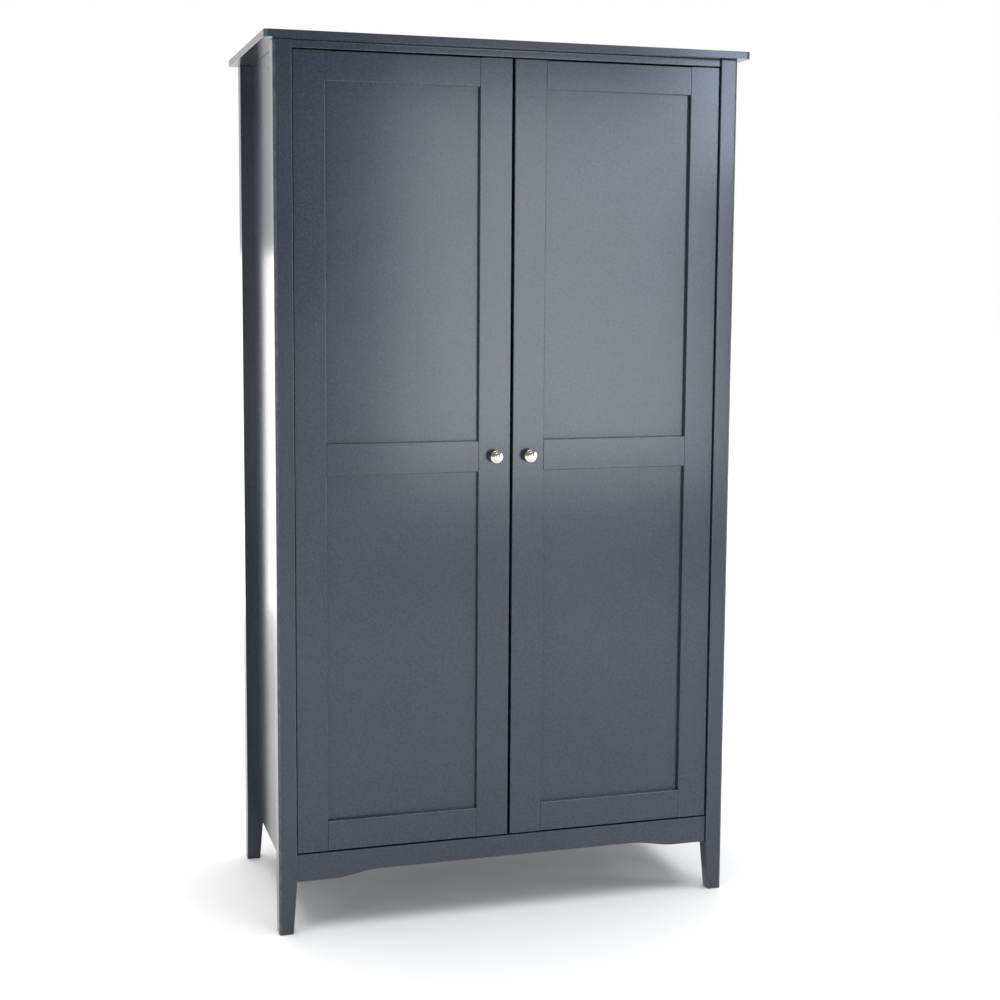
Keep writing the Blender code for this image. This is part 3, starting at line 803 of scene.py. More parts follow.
@dataclass(frozen=True)
class ConcealedHinge:
    """A cup hinge: the cup in the door, the arm and plate on the carcass, the links between."""

    side: Side
    level: str
    cup: float = 0.035
    cup_wall: float = 0.0015
    cup_depth: float = 0.0115
    ear_width: float = 0.0140
    ear_thick: float = 0.0010
    arm_width: float = 0.0140
    plate_thick: float = 0.0025
    plate_width: float = 0.0240
    plate_height: float = 0.0500
    cup_turn: float = 0.0022  # the round between the cup's wall and its floor
    cup_lip: float = 0.0006
    rim_thick: float = 0.0013
    ear_corner: float = 0.0045
    ear_set: float = 0.0012
    ear_screw_inset: float = 0.0055
    arm_tail: float = 0.0118  # how far the arm stands off the side at its tail
    arm_bend: float = 0.0146  # how far it stands off at its bend
    arm_root: float = 0.6  # where the arm starts, as a share of the plate's thickness
    arm_gap: float = 0.0005
    nose_radius: float = 0.0042
    nose_set: float = 0.0044
    throat: Point2 = (0.0062, 0.018)  # the arm's hollow: its stand-off, and its place from the nose
    foot_from_nose: float = 0.028
    plate_from_nose: float = 0.042
    plate_screw_offset: float = 0.0185
    link_reach: float = 0.0036
    link_offset: float = 0.0036
    link_depth: float = 0.62  # how deep the links reach, as a share of the cup's depth
    link_steps: int = 28
    link_size: tuple[float, float] = (0.0014, 0.0034)

    def make(self, bench: Bench, finishes: Finishes) -> None:
        """Builds and dresses the hinge's pieces.

        Args:
            bench: where they are made.
            finishes: their finishes.
        """
        cup_node = f"{self.side.word}_hinge_cup_{self.level}"
        arm_node = f"hinge_arm_{self.side.word}_{self.level}"
        low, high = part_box(cup_node)
        centre = Vector(((low.x + high.x) / 2, high.y, (low.z + high.z) / 2))
        self.make_cup(bench, finishes, cup_node, centre, low, high)
        self.make_arm(bench, finishes, arm_node, centre)
        self.make_links(bench, finishes, arm_node, centre)

    def make_cup(
        self, bench: Bench, finishes: Finishes, node: str, centre: Vector, low: Vector, high: Vector
    ) -> None:
        """The drawn cup with its rim and two ears, and the ears' screws.

        Args:
            bench: where it is made.
            finishes: its finishes.
            node: the frame's cup.
            centre: the middle of its mouth.
            low: the cup's lowest corner.
            high: its highest corner.
        """
        radius = self.cup / 2 - HAIR
        rim = (high.x - low.x) / 2
        bottom = low.y - high.y
        turn, lip = self.cup_turn, self.cup_lip
        inside = radius - self.cup_wall
        floor = bottom + self.cup_wall
        profile = [(0.0, floor)]
        profile += Shaper.arc((inside - turn, floor + turn), turn, -90, 0, 5)
        profile += Shaper.arc((inside + lip, -lip), lip, 180, 90, 3)
        profile += Shaper.arc((rim - lip, -lip), lip, 90, 0, 3)
        profile += [(rim, -self.rim_thick), (radius, -self.rim_thick)]
        profile += Shaper.arc((radius - turn, bottom + turn), turn, 0, -90, 5)
        profile += [(0.0, bottom)]
        cup = Shaper.aim(Shaper.turned(profile, 56), centre, Vector((0, 1, 0)))
        ear_reach = (high.z - low.z) / 2
        for up in (-1, 1):
            start, end = self.cup / 2 - self.ear_set, ear_reach
            middle = (start + end) / 2
            outline = Shaper.rounded(self.ear_width, end - start, self.ear_corner, 6)
            moved = [(centre.x + u, centre.z + up * middle + v) for u, v in outline]
            sunk = high.y - self.ear_set
            ear = Shaper.prism(moved, Axis.Y, sunk, sunk + self.ear_thick)
            cup = Shaper.combined(cup, ear, "UNION")
        body = Body.door(self.side)
        bench.finish(f"{node}_plated", cup, finishes.steel, body, [node])
        heads = [centre + Vector((0, -0.0002, up * (ear_reach - self.ear_screw_inset))) for up in (-1, 1)]
        screws = PanScrew().set_of(heads, (0, 1, 0), 20.0 * len(self.level))
        bench.finish(f"{node}_screws", screws, finishes.steel, body)

    def make_arm(self, bench: Bench, finishes: Finishes, node: str, centre: Vector) -> None:
        """The pressed arm on its mounting plate, with the screws that hold and adjust it.

        Args:
            bench: where it is made.
            finishes: its finishes.
            node: the frame's arm.
            centre: the middle of the cup's mouth.
        """
        low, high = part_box(node)
        face = low.x if self.side is Side.LEFT else high.x
        inward = -self.side.value
        reach = abs(face - centre.x)
        nose = low.y
        tail = high.y
        bend = nose + (tail - nose) * 0.5
        outline = [
            (self.plate_thick * self.arm_root, tail - self.arm_gap),
            (self.arm_tail, tail - self.arm_gap),
            (self.arm_bend, bend),
            *Shaper.arc((reach, nose + self.nose_set), self.nose_radius, 50, -130, 8),
            (self.throat[0], nose + self.throat[1]),
            (self.plate_thick * self.arm_root, nose + self.foot_from_nose),
        ]
        points = [(face + inward * u, v) for u, v in outline]
        half = self.arm_width / 2
        arm = Shaper.prism(points, Axis.Z, centre.z - half, centre.z + half)
        Shaper.round_edges(arm, Shaper.ends_of(arm, Axis.Z), 0.0012, 4)
        plate_middle = nose + self.plate_from_nose
        plate_outline = [
            (plate_middle + u, centre.z + v)
            for u, v in Shaper.rounded(self.plate_width, self.plate_height, 0.006, 6)
        ]
        ends = sorted((face, face + inward * self.plate_thick))
        plate = Shaper.prism(plate_outline, Axis.X, *ends)
        Shaper.round_edges(plate, Shaper.ends_of(plate, Axis.X), 0.0005, 3)
        whole = Shaper.combined(arm, plate, "UNION")
        bench.finish(f"{node}_plated", whole, finishes.steel, Body.CARCASS, [node])

        out = face + inward * self.plate_thick
        holding = [Vector((out, plate_middle, centre.z + up * self.plate_screw_offset)) for up in (-1, 1)]
        forms = [PanScrew(head=0.0072).set_of(holding, (inward, 0, 0))]
        slope = (self.arm_bend - self.arm_tail) / (tail - bend)
        for place in (0.30, 0.74):
            y = bend + (tail - bend) * place
            height = self.arm_bend - slope * (y - bend)
            spot = [Vector((face + inward * (height - 0.0003), y, centre.z))]
            forms.append(PanScrew(head=0.0078, rise=0.0016).set_of(spot, (inward, -0.1, 0), 60 * place))
        bench.finish(f"{node}_screws", Shaper.gather(forms), finishes.steel, Body.CARCASS)

    def make_links(self, bench: Bench, finishes: Finishes, node: str, centre: Vector) -> None:
        """The two links between arm and cup, which on a real hinge reach out of the cup as the door opens;
        here they are built as they lie with the door shut and ride on no body.

        Args:
            bench: where it is made.
            finishes: its finishes.
            node: the frame's arm.
            centre: the middle of the cup's mouth.
        """
        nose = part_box(node)[0].y
        start = nose + self.link_reach
        end = centre.y - self.cup_depth * self.link_depth
        steps = self.link_steps
        forms = []
        for up in (-1, 1):
            middle = centre.z + up * self.link_offset
            outline = Shaper.rounded(*self.link_size, 0.0006, 3)
            rings = [
                [Vector((centre.x + u, start + (end - start) * i / steps, middle + v)) for u, v in outline]
                for i in range(steps + 1)
            ]
            forms.append(Shaper.loft(rings))
        name = f"hinge_links_{self.side.word}_{self.level}"
        links = bench.finish(name, Shaper.gather(forms), finishes.steel, None)
        door = Body.door(self.side).value
        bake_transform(links)


@dataclass(frozen=True)
class MagneticCatch:
    """A magnetic catch under the top rail, and the plate on the door that it holds."""

    side: Side
    housing: float = 0.031
    ear_thick: float = 0.0042
    pole_thick: float = 0.0014
    pole_proud: float = 0.0007

    def make(self, bench: Bench, finishes: Finishes) -> None:
        """Builds and dresses the catch and the plate.

        Args:
            bench: where they are made.
            finishes: their finishes.
        """
        node = f"door_catch_{self.side.word}"
        low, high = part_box(node)
        middle = (low + high) / 2
        half = self.housing / 2
        ear = high.z - self.ear_thick
        outline = [
            (high.x, high.z), (low.x, high.z), (low.x, ear), (middle.x - half, ear),
            (middle.x - half, low.z), (middle.x + half, low.z), (middle.x + half, ear), (high.x, ear),
        ]
        case = Shaper.prism(outline, Axis.Y, low.y + 0.0004, high.y)
        Shaper.round_edges(case, case.edges[:], 0.0006, 3)
        bench.finish(f"{node}_moulded", case, finishes.plastic, Body.CARCASS, [node])
        poles = [
            Shaper.block(
                Vector((middle.x - half + 0.003, low.y + 0.0004 - self.pole_proud, z)),
                Vector((middle.x + half - 0.003, low.y + 0.0030, z + self.pole_thick)),
                0.0003,
            )
            for z in (low.z + 0.0028, high.z - self.ear_thick - 0.0028)
        ]
        bench.finish(f"{node}_poles", Shaper.gather(poles), finishes.steel, Body.CARCASS)
        spots = [Vector((x, middle.y, ear)) for x in (low.x + 0.0038, high.x - 0.0038)]
        screws = PanScrew(head=0.0056).set_of(spots, (0, 0, -1), 31.0)
        bench.finish(f"{node}_screws", screws, finishes.steel, Body.CARCASS)

        plate_node = f"{self.side.word}_strike_plate"
        low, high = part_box(plate_node)
        middle = (low + high) / 2
        points = [
            (middle.x + u, middle.z + v)
            for u, v in Shaper.rounded(high.x - low.x, high.z - low.z, 0.0025, 6)
        ]
        plate = Shaper.prism(points, Axis.Y, low.y, high.y)
        Shaper.round_edges(plate, Shaper.ends_of(plate, Axis.Y), 0.0003, 3)
        body = Body.door(self.side)
        bench.finish(f"{plate_node}_plated", plate, finishes.steel, body, [plate_node])
        rivet = PanScrew(head=0.005, rise=0.0010, recess=0.0007).set_of(
            [Vector((middle.x, high.y - 0.0002, middle.z))], (0, 1, 0), 5.0
        )
        bench.finish(f"{plate_node}_screw", rivet, finishes.steel, body)


# ---------------------------------------------------------------------------------- doors


@dataclass(frozen=True)
class Knob:
    """A turned, polished knob on its screw."""

    side: Side
    rim: float = 0.0040
    head_thick: float = 0.0120
    neck: float = 0.0110
    foot: float = 0.0160
    foot_thick: float = 0.0030
    cove: float = 0.0038

    def profile(self, radius: float, reach: float) -> list[Point2]:
        """The knob's outline, from the top of its head to the door.

        Args:
            radius: half the width of the head.
            reach: how far the head stands out.

        Returns:
            (radius, height) points.
        """
        back = reach - self.head_thick
        rim_centre = (radius - self.rim, back + self.rim)
        rise = self.head_thick - 2 * self.rim
        dome = (rim_centre[0] ** 2 + rise**2) / (2 * rise)
        lean = math.degrees(math.asin(rim_centre[0] / dome))
        neck, foot = self.neck / 2, self.foot / 2
        points = Shaper.arc((0.0, reach - dome), dome, 90, 90 - lean, 16)[:-1]
        points += Shaper.arc(rim_centre, self.rim, 90 - lean, -90, 18)
        points += Shaper.arc((neck + self.cove, back - self.cove), self.cove, 90, 180, 8)
        points += Shaper.arc((neck + 0.0012, self.foot_thick + 0.0012), 0.0012, 180, 270, 5)
        points += Shaper.arc((foot - 0.0012, self.foot_thick - 0.0012), 0.0012, 90, 0, 5)
        return [(0.0, reach), *points[1:], (foot, 0.0), (0.0, 0.0)]

    def make(self, bench: Bench, finishes: Finishes, door_front: float, door_back: float) -> None:
        """Builds and dresses the knob and its screw.

        Args:
            bench: where they are made.
            finishes: their finishes.
            door_front: the plane of the door's front.
            door_back: the plane of its back.
        """
        node = f"{self.side.word}_knob"
        low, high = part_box(node)
        centre = Vector(((low.x + high.x) / 2, door_front - HAIR, (low.z + high.z) / 2))
        form = Shaper.turned(self.profile((high.x - low.x) / 2, centre.y - low.y), 96)
        Shaper.aim(form, centre, Vector((0, -1, 0)))
        body = Body.door(self.side)
        bench.finish(f"{node}_polished", form, finishes.nickel, body, [node])
        screw = PanScrew(head=0.0080, rise=0.0022).set_of(
            [Vector((centre.x, door_back + HAIR, centre.z))], (0, 1, 0), 24.0
        )
        bench.finish(f"{node}_screw_head", screw, finishes.steel, body, [f"{node}_screw"])


@dataclass(frozen=True)
class FramedDoor:
    """A door of two stiles and three rails round two thin panels."""

    side: Side
    arris: float = 0.0015
    end_ease: float = 0.0009
    groove: float = 0.0080
    arc_steps: int = 5

    def section(self, low: Point2, high: Point2, slot: Point2, grooved: tuple[bool, bool]) -> list[Point2]:
        """The cross-section of a stile or rail, across its length.

        Args:
            low: the lowest corner, as (across, depth).
            high: the highest corner.
            slot: the front and back of the panel's groove.
            grooved: whether the low edge and the high edge are grooved.

        Returns:
            The outline, counter-clockwise.
        """
        r = self.arris
        (u0, v0), (u1, v1) = low, high
        lower = [(u0, slot[1]), (u0 + self.groove, slot[1]), (u0 + self.groove, slot[0]), (u0, slot[0])]
        upper = [(u1, slot[0]), (u1 - self.groove, slot[0]), (u1 - self.groove, slot[1]), (u1, slot[1])]
        points = Shaper.arc((u0 + r, v0 + r), r, 180, 270, self.arc_steps)
        points += Shaper.arc((u1 - r, v0 + r), r, 270, 360, self.arc_steps)
        points += upper if grooved[1] else []
        points += Shaper.arc((u1 - r, v1 - r), r, 0, 90, self.arc_steps)
        points += Shaper.arc((u0 + r, v1 - r), r, 90, 180, self.arc_steps)
        points += lower if grooved[0] else []
        return points

    def member(
        self, bench: Bench, finishes: Finishes, name: str, length: Axis, grooved: tuple[bool, bool],
        slot: Point2,
    ) -> None:
        """One stile or rail of the frame.

        Args:
            bench: where it is made.
            finishes: its finishes.
            name: its name on the door.
            length: the axis it runs along.
            grooved: whether its low and its high edge are grooved.
            slot: the front and back of the groove.
        """
        node = f"{self.side.word}_{name}"
        low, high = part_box(node)
        if length is Axis.Z:
            outline = self.section((low.x, low.y), (high.x, high.y), slot, grooved)
        else:
            turned = self.section((low.z, low.y), (high.z, high.y), slot, grooved)
            outline = [(v, u) for u, v in turned]
        form = Shaper.prism(outline, length, low[length.value], high[length.value])
        Shaper.round_edges(form, Shaper.ends_of(form, length), self.end_ease, 3)
        bench.finish(f"{node}_painted", form, finishes.paint[length], Body.door(self.side), [node])

    def make(self, bench: Bench, finishes: Finishes) -> None:
        """Builds and dresses the door with its knob.

        Args:
            bench: where it is made.
            finishes: its finishes.
        """
        word = self.side.word
        panel_low, panel_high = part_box(f"{word}_upper_panel")
        slot = (panel_low.y - HAIR, panel_high.y + HAIR)
        left = self.side is Side.LEFT
        self.member(bench, finishes, "hinge_stile", Axis.Z, (not left, left), slot)
        self.member(bench, finishes, "lock_stile", Axis.Z, (left, not left), slot)
        self.member(bench, finishes, "top_rail", Axis.X, (True, False), slot)
        self.member(bench, finishes, "mid_rail", Axis.X, (True, True), slot)
        self.member(bench, finishes, "bottom_rail", Axis.X, (False, True), slot)
        body = Body.door(self.side)
        for name in ("upper_panel", "lower_panel"):
            bench.board(f"{word}_{name}", finishes.paint[Axis.Z], body, 0.0006)
        stile_low, stile_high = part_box(f"{word}_lock_stile")
        Knob(self.side).make(bench, finishes, stile_low.y, stile_high.y)


# ---------------------------------------------------------------------------------- carcass


@dataclass(frozen=True)
class Post:
    """A square post whose leg tapers on its two inner faces."""

    side: Side
    front: bool
    arris: float = 0.0060
    inner_arris: float = 0.0014
    foot: float = 0.0300

    def make(self, bench: Bench, finishes: Finishes, leg: float, groove: tuple[float, float]) -> None:
        """Builds and dresses the post.

        Args:
            bench: where it is made.
            finishes: its finishes.
            leg: the height where the taper starts.
            groove: the front and back of the groove for the back panel, for a rear post.
        """
        node = f"{'front' if self.front else 'rear'}_post_{self.side.word}"
        low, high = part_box(node)
        form = Shaper.block(low, high, 0.0)
        everything = form.verts[:] + form.edges[:] + form.faces[:]
        bmesh.ops.bisect_plane(form, geom=everything, plane_co=(0, 0, leg), plane_no=(0, 0, 1))
        centre = (low + high) / 2
        taper = (high.x - low.x) - self.foot
        outward = Vector((self.side.value, -1 if self.front else 1, 0))
        for vert in form.verts:
            if vert.co.z < leg / 2:
                for axis in (0, 1):
                    if (vert.co[axis] - centre[axis]) * outward[axis] < 0:
                        vert.co[axis] += outward[axis] * taper
        outer = [
            edge for edge in form.edges
            if all((v.co[a] - centre[a]) * outward[a] > 0 for v in edge.verts for a in (0, 1))
        ]
        Shaper.round_edges(form, outer, self.arris, 10)
        sharp = [
            edge for edge in form.edges
            if len(edge.link_faces) == 2 and edge.calc_face_angle() > math.radians(SQUARE_EDGE)
        ]
        Shaper.round_edges(form, sharp, self.inner_arris, 4)
        if not self.front:
            inside = low.x if self.side is Side.RIGHT else high.x
            ends = sorted((inside - self.side.value * 0.01, inside + self.side.value * 0.005))
            cut_low = Vector((ends[0], groove[0] - HAIR, leg - HAIR))
            cut_high = Vector((ends[1], groove[1] + HAIR, high.z + 0.01))
            form = Shaper.combined(form, Shaper.block(cut_low, cut_high, 0.0), "DIFFERENCE")
        bench.finish(f"{node}_painted", form, finishes.paint[Axis.Z], Body.CARCASS, [node])


@dataclass(frozen=True)
class Carcass:
    """Posts, top, sides, rails, floor and back."""

    top_radius: float = 0.0100
    top_arris: float = 0.0016
    arris: float = 0.0012
    apron_rise: float = 0.0125
    apron_flat: float = 0.0740
    apron_ogee: float = 0.1020
    apron_steps: int = 28
    strip_flange: float = 0.0010
    strip_web: float = 0.0030
    pin: float = 0.0034
    pin_pitch: float = 0.1350

    def make(self, bench: Bench, finishes: Finishes) -> None:
        """Builds and dresses the carcass.

        Args:
            bench: where it is made.
            finishes: its finishes.
        """
        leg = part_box("side_panel_left")[0].z
        back_low, back_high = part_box("back_panel_left")
        for side in Side:
            for front in (True, False):
                Post(side, front).make(bench, finishes, leg, (back_low.y, back_high.y))
            bench.board(f"side_panel_{side.word}", finishes.paint[Axis.Z], Body.CARCASS, 0.0008)
            bench.board(f"back_panel_{side.word}", finishes.back, Body.CARCASS, 0.0004)
        self.make_top(bench, finishes)
        self.make_apron(bench, finishes)
        for node in ("front_top_rail", "rear_top_rail", "rear_bottom_rail", "floor_panel"):
            bench.board(node, finishes.paint[Axis.X], Body.CARCASS, self.arris)
        self.make_joint_strip(bench, finishes)
        self.make_pins(bench, finishes)

    def make_top(self, bench: Bench, finishes: Finishes) -> None:
        """The top board, with its two front corners rounded.

        Args:
            bench: where it is made.
            finishes: its finishes.
        """
        low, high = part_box("top_board")
        r = self.top_radius
        outline = [(high.x, high.y), (low.x, high.y)]
        outline += Shaper.arc((low.x + r, low.y + r), r, 180, 270, 12)
        outline += Shaper.arc((high.x - r, low.y + r), r, 270, 360, 12)
        form = Shaper.prism(outline, Axis.Z, low.z, high.z)
        edges = set(Shaper.ends_of(form, Axis.Z))
        edges |= {
            edge for edge in form.edges
            if all(abs(v.co.y - high.y) < SAME_PLACE for v in edge.verts)
        }
        Shaper.round_edges(form, edges, self.top_arris, 4)
        bench.finish("top_board_painted", form, finishes.paint[Axis.X], Body.CARCASS, ["top_board"])

    def make_apron(self, bench: Bench, finishes: Finishes) -> None:
        """The rail under the doors, whose lower edge rises in an ogee from each flat end.

        Args:
            bench: where it is made.
            finishes: its finishes.
        """
        low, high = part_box("front_apron")
        ogee_start = high.x + HAIR - self.apron_flat
        rising = []
        for step in range(self.apron_steps + 1):
            share = step / self.apron_steps
            lift = self.apron_rise * (1 - math.cos(math.pi * share)) / 2
            rising.append((ogee_start - self.apron_ogee * share, low.z + lift))
        lower = [(high.x, low.z), *rising]
        lower += [(-x, z) for x, z in reversed(lower)]
        outline = [(low.x, high.z), (high.x, high.z), *lower]
        form = Shaper.prism(outline, Axis.Y, low.y, high.y)
        sharp = [edge for edge in form.edges if edge.calc_face_angle() > math.radians(SQUARE_EDGE)]
        Shaper.round_edges(form, sharp, self.arris, 3)
        bench.finish("front_apron_painted", form, finishes.paint[Axis.X], Body.CARCASS, ["front_apron"])

    def make_joint_strip(self, bench: Bench, finishes: Finishes) -> None:
        """The H-shaped strip that joins the two halves of the back.

        Args:
            bench: where it is made.
            finishes: its finishes.
        """
        low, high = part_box("back_joint_strip")
        wide, slim = high.x, self.strip_web / 2
        inner, outer = low.y + self.strip_flange, high.y - self.strip_flange
        ease = 0.00035
        right = [(wide - ease, low.y), (wide, low.y + ease), (wide, inner - ease / 2), (slim, inner)]
        right += [(slim, outer), (wide, outer + ease / 2), (wide, high.y - ease), (wide - ease, high.y)]
        outline = right + [(-x, y) for x, y in reversed(right)]
        form = Shaper.prism(outline, Axis.Z, low.z, high.z)
        bench.finish(
            "back_joint_strip_moulded", form, finishes.plastic, Body.CARCASS, ["back_joint_strip"]
        )

    def make_pins(self, bench: Bench, finishes: Finishes) -> None:
        """The pins that hold the back to the rear rails and the shelf.

        Args:
            bench: where it is made.
            finishes: its finishes.
        """
        back_low, back_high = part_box("back_panel_right")
        levels = [sum(c.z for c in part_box(node)) / 2
                  for node in ("rear_top_rail", "rear_bottom_rail", "hat_shelf")]
        span = back_high.x - back_low.x - 0.05
        count = round(span / self.pin_pitch)
        radius = self.pin / 2
        dome = [(radius * math.cos(a), 0.0007 * math.sin(a)) for a in (0.0, 0.5, 1.0)]
        profile = [(0.0, 0.0007), *reversed(dome), (radius, -0.0006), (0.0, -0.0006)]
        forms = []
        for level in levels:
            for side in Side:
                for i in range(count + 1):
                    x = side.value * (back_low.x + 0.02 + span * i / count)
                    form = Shaper.turned(profile, 20)
                    forms.append(Shaper.aim(form, Vector((x, back_high.y, level)), Vector((0, 1, 0))))
        bench.finish("back_pins", Shaper.gather(forms), finishes.steel, Body.CARCASS)


@dataclass(frozen=True)
class HangingSpace:
    """The hat shelf on its battens, and the hanging rail in its sockets."""

    wall: float = 0.0012
    flange: float = 0.0030
    rim: float = 0.0070

    def make(self, bench: Bench, finishes: Finishes) -> None:
        """Builds and dresses the shelf and the rail.

        Args:
            bench: where they are made.
            finishes: their finishes.
        """
        bench.board("hat_shelf", finishes.paint[Axis.X], Body.CARCASS, 0.0015, 4)
        low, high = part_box("hanging_rail")
        radius = (high.z - low.z) / 2
        centre = (low + high) / 2
        ease = 0.0003
        inner, length = radius - self.wall, high.x - low.x
        ring = [
            (inner, ease), (inner + ease, 0.0), (radius - ease, 0.0), (radius, ease),
            (radius, length - ease), (radius - ease, length), (inner + ease, length),
            (inner, length - ease), (inner, ease),
        ]
        tube = Shaper.aim(Shaper.turned(ring, 72), Vector((low.x, centre.y, centre.z)), Vector((1, 0, 0)))
        bench.finish("hanging_rail_polished", tube, finishes.chrome, Body.CARCASS, ["hanging_rail"])
        for side in Side:
            self.make_batten(bench, finishes, side)
            self.make_socket(bench, finishes, side, radius)

    def make_batten(self, bench: Bench, finishes: Finishes, side: Side) -> None:
        """A batten under the shelf, with its three screws.

        Args:
            bench: where it is made.
            finishes: its finishes.
            side: the side it is on.
        """
        node = f"shelf_batten_{side.word}"
        bench.board(node, finishes.paint[Axis.Y], Body.CARCASS, 0.0015, 4)
        low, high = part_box(node)
        face = high.x if side is Side.LEFT else low.x
        level = (low.z + high.z) / 2
        spots = [Vector((face, low.y + (high.y - low.y) * s, level)) for s in (0.1, 0.5, 0.9)]
        screws = PanScrew(head=0.0070).set_of(spots, (-side.value, 0, 0), 8.0)
        bench.finish(f"{node}_screws", screws, finishes.steel, Body.CARCASS)

    def make_socket(self, bench: Bench, finishes: Finishes, side: Side, rail: float) -> None:
        """A flanged socket that the rail's end sits in, with its two screws.

        Args:
            bench: where it is made.
            finishes: its finishes.
            side: the side it is on.
            rail: half the rail's width.
        """
        node = f"rail_socket_{side.word}"
        low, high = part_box(node)
        centre = Vector((low.x if side is Side.LEFT else high.x, (low.y + high.y) / 2, (low.z + high.z) / 2))
        depth = high.x - low.x
        outer = (high.z - low.z) / 2
        boss = outer - self.rim
        hole = rail + HAIR
        turn = 0.0008
        profile = [(0.0, self.flange), (hole, self.flange), (hole, depth - turn), (hole + turn, depth)]
        profile += Shaper.arc((boss - turn, depth - turn), turn, 90, 0, 4)
        profile += Shaper.arc((boss + turn, self.flange + turn), turn, 180, 270, 4)
        profile += Shaper.arc((outer - turn, self.flange - turn), turn, 90, 0, 4)
        profile += [(outer, 0.0), (0.0, 0.0)]
        inward = Vector((-side.value, 0, 0))
        form = Shaper.aim(Shaper.turned(profile, 64), centre, inward)
        bench.finish(f"{node}_polished", form, finishes.chrome, Body.CARCASS, [node])
        spots = [
            centre + inward * self.flange + Vector((0, s * (outer - self.rim / 2 - 0.0002), 0))
            for s in (-1, 1)
        ]
        screws = PanScrew(head=0.0054, rise=0.0015).set_of(spots, inward, 17.0)
        bench.finish(f"{node}_screws", screws, finishes.steel, Body.CARCASS)


# ---------------------------------------------------------------------------------- studio


@dataclass(frozen=True)
class Softbox:
    """A soft studio lamp, aimed at a point."""

    name: str
    place: tuple[float, float, float]
    target: tuple[float, float, float]
    size: tuple[float, float]
    power: float
    colour: tuple[float, float, float] = (1.0, 1.0, 1.0)

    def make(self) -> None:
        """Hangs the lamp, unseen by the camera itself."""
        lamp = bpy.data.lights.new(self.name, "AREA")
        lamp.shape = "RECTANGLE"
        lamp.size, lamp.size_y = self.size
        lamp.energy = self.power
        lamp.color = self.colour
        obj = bpy.data.objects.new(self.name, lamp)
        bpy.context.scene.collection.objects.link(obj)
        obj.location = self.place
        aim = Vector(self.target) - Vector(self.place)
        obj.rotation_euler = aim.to_track_quat("-Z", "Y").to_euler()
        obj.visible_camera = False
        LOG.info("lamp %s: %.0f W", self.name, self.power)


@dataclass(frozen=True)
class CeilingWash:
    """The even light of a white ceiling, straight down."""

    strength: float = 2.9
    spread: float = 60.0

    def make(self) -> None:
        """Hangs the light."""
        lamp = bpy.data.lights.new("ceiling_wash", "SUN")
        lamp.energy = self.strength
        lamp.angle = math.radians(self.spread)
        obj = bpy.data.objects.new("ceiling_wash", lamp)
        bpy.context.scene.collection.objects.link(obj)


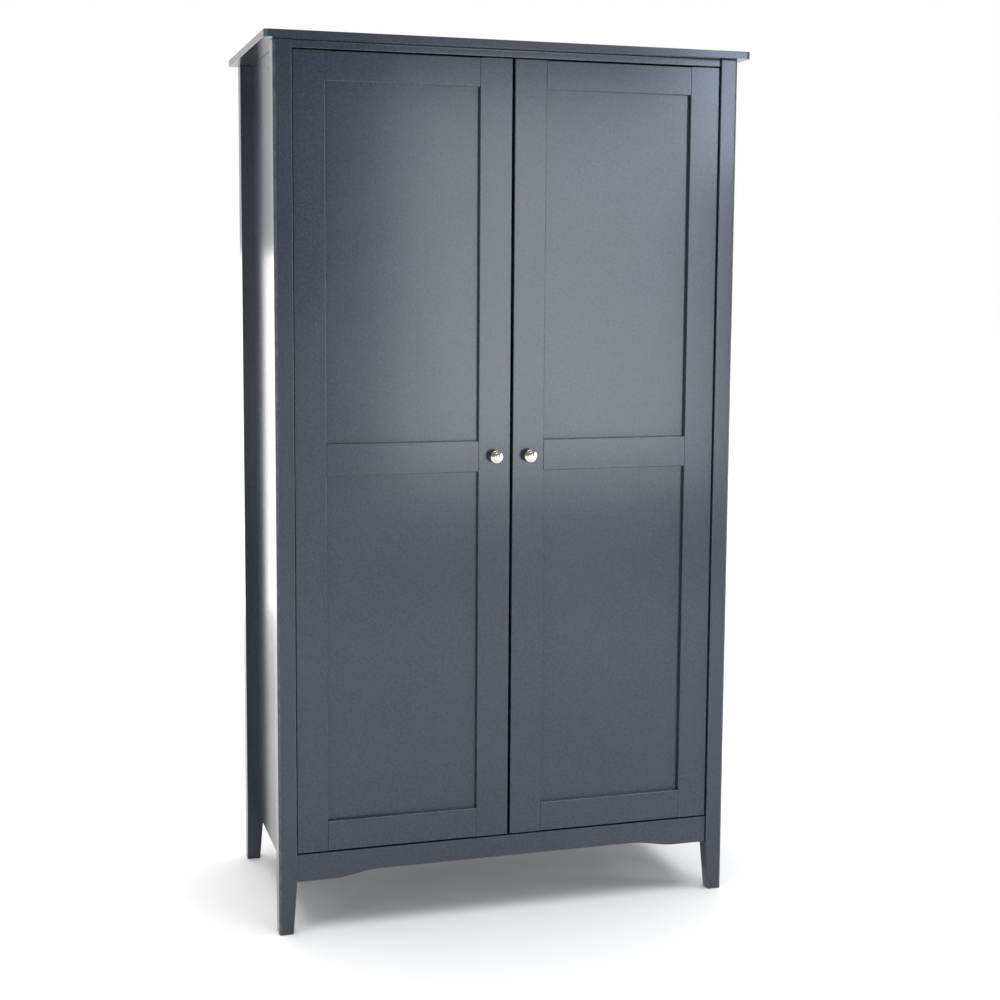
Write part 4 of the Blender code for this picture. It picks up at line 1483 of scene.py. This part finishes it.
@dataclass(frozen=True)
class Studio:
    """A pale floor, a white surround, the lamps and the camera."""

    floor_size: float = 60.0
    floor_colour: tuple[float, float, float] = (0.88, 0.88, 0.88)
    backdrop: float = 1.0
    walls: float = 0.40
    room: float = 0.22
    room_ends: Point2 = (-0.85, -0.30)  # where the room gives way to the walls, along Y
    backdrop_starts: Point2 = (0.30, 0.90)  # where the walls give way to the backdrop
    floor_dim: float = 0.985  # the floor's darker patches, as a share of its colour
    camera_place: tuple[float, float, float] = (-1.0209, -3.5332, 1.3811)
    camera_turn: tuple[float, float, float] = (83.815, -0.378, -16.749)
    lens: float = 59.25
    shift: float = -0.05
    lamps: tuple[Softbox, ...] = (
        Softbox("key", (1.3, -3.7, 1.33), (1.3, 0.0, 1.33), (1.5, 1.70), 38.5, (0.98, 1.0, 1.04)),
        Softbox("window", (2.12, -3.7, 2.2), (2.12, 0.0, 2.2), (0.35, 0.7), 12.0, (0.84, 0.94, 1.25)),
        Softbox("window_low", (3.0, -3.0, 0.7), (0.3, -0.2, 0.8), (1.0, 1.0), 4.0, (0.85, 0.95, 1.2)),
        Softbox("strip_right", (3.3, -1.4, 1.3), (0.0, -0.2, 1.0), (0.5, 2.0), 20.0, (0.95, 1.0, 1.08)),
        Softbox("strip_left", (-3.1, -1.9, 1.3), (-0.4, 0.0, 1.0), (0.5, 2.0), 6.0),
        Softbox("behind_left", (-1.4, 2.9, 0.55), (-0.6, 0.3, 0.3), (1.6, 1.8), 21.0, (1.0, 0.97, 1.0)),
        Softbox("front_left", (-1.3, -3.95, 1.2), (-0.5, 0.0, 1.1), (1.2, 1.8), 12.0),
    )

    def make(self) -> None:
        """Sets up the studio."""
        self.make_floor()
        self.make_surround()
        CeilingWash().make()
        for lamp in self.lamps:
            lamp.make()
        self.make_camera()
        bpy.context.scene.view_settings.view_transform = "Standard"

    def make_floor(self) -> None:
        """A plain pale floor with a faint mottling."""
        form = bmesh.new()
        bmesh.ops.create_grid(form, x_segments=2, y_segments=2, size=self.floor_size / 2)
        mesh = bpy.data.meshes.new("studio_floor")
        form.to_mesh(mesh)
        form.free()
        graph = FinishGraph("pale_floor")
        mottle = graph.noise(3.0, 3.0)
        dim = tuple(c * self.floor_dim for c in self.floor_colour)
        graph.join(graph.blend(mottle, self.floor_colour, dim), graph.shader.inputs["Base Color"])
        graph.constants(Roughness=0.7, Specular_IOR_Level=0.2)
        mesh.materials.append(graph.material)
        floor = bpy.data.objects.new("studio_floor", mesh)
        bpy.context.scene.collection.objects.link(floor)
        floor.location.z = -0.0002

    def make_surround(self) -> None:
        """A white backdrop behind the wardrobe, paler walls beside it and a dim room in front."""
        world = bpy.data.worlds.new("studio_surround")
        bpy.context.scene.world = world
        world.use_nodes = True
        tree = world.node_tree
        nodes, links = tree.nodes, tree.links
        background = nodes["Background"]
        background.inputs["Color"].default_value = (1.0, 1.0, 1.0, 1.0)
        coordinates = nodes.new("ShaderNodeTexCoord")
        parts = nodes.new("ShaderNodeSeparateXYZ")
        links.new(coordinates.outputs["Generated"], parts.inputs["Vector"])
        total = nodes.new("ShaderNodeMath")
        total.operation = "ADD"
        steps = (
            (*self.room_ends, self.room, self.walls),
            (*self.backdrop_starts, 0.0, self.backdrop - self.walls),
        )
        for slot, step in zip(total.inputs, steps):
            ramp = nodes.new("ShaderNodeMapRange")
            ramp.interpolation_type = "SMOOTHSTEP"
            for socket, number in zip(("From Min", "From Max", "To Min", "To Max"), step):
                ramp.inputs[socket].default_value = number
            links.new(parts.outputs["Y"], ramp.inputs["Value"])
            links.new(ramp.outputs["Result"], slot)
        seen = nodes.new("ShaderNodeLightPath")
        strength = nodes.new("ShaderNodeMix")
        links.new(seen.outputs["Is Camera Ray"], strength.inputs["Factor"])
        links.new(total.outputs["Value"], strength.inputs["A"])
        strength.inputs["B"].default_value = 1.0
        links.new(strength.outputs["Result"], background.inputs["Strength"])

    def make_camera(self) -> None:
        """A camera left of the middle at standing height."""
        lens = bpy.data.cameras.new("studio_camera")
        lens.sensor_width = 36.0
        lens.lens = self.lens
        lens.shift_y = self.shift
        camera = bpy.data.objects.new("studio_camera", lens)
        bpy.context.scene.collection.objects.link(camera)
        camera.location = self.camera_place
        camera.rotation_euler = Euler([math.radians(a) for a in self.camera_turn], "XYZ")
        bpy.context.scene.camera = camera


def main() -> None:
    """Builds the wardrobe round the frame, part by part, and sets up the studio."""
    logging.basicConfig(level=logging.INFO, format="%(name)s: %(message)s")
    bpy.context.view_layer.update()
    Studio().make()
    finishes = Finishes()
    bench = Bench()
    Carcass().make(bench, finishes)
    HangingSpace().make(bench, finishes)
    for side in Side:
        FramedDoor(side).make(bench, finishes)
        MagneticCatch(side).make(bench, finishes)
        for level in ("lower", "middle", "upper"):
            ConcealedHinge(side, level).make(bench, finishes)
    LOG.info("%d pieces made", bench.made)


if __name__ == "__main__":
    main()
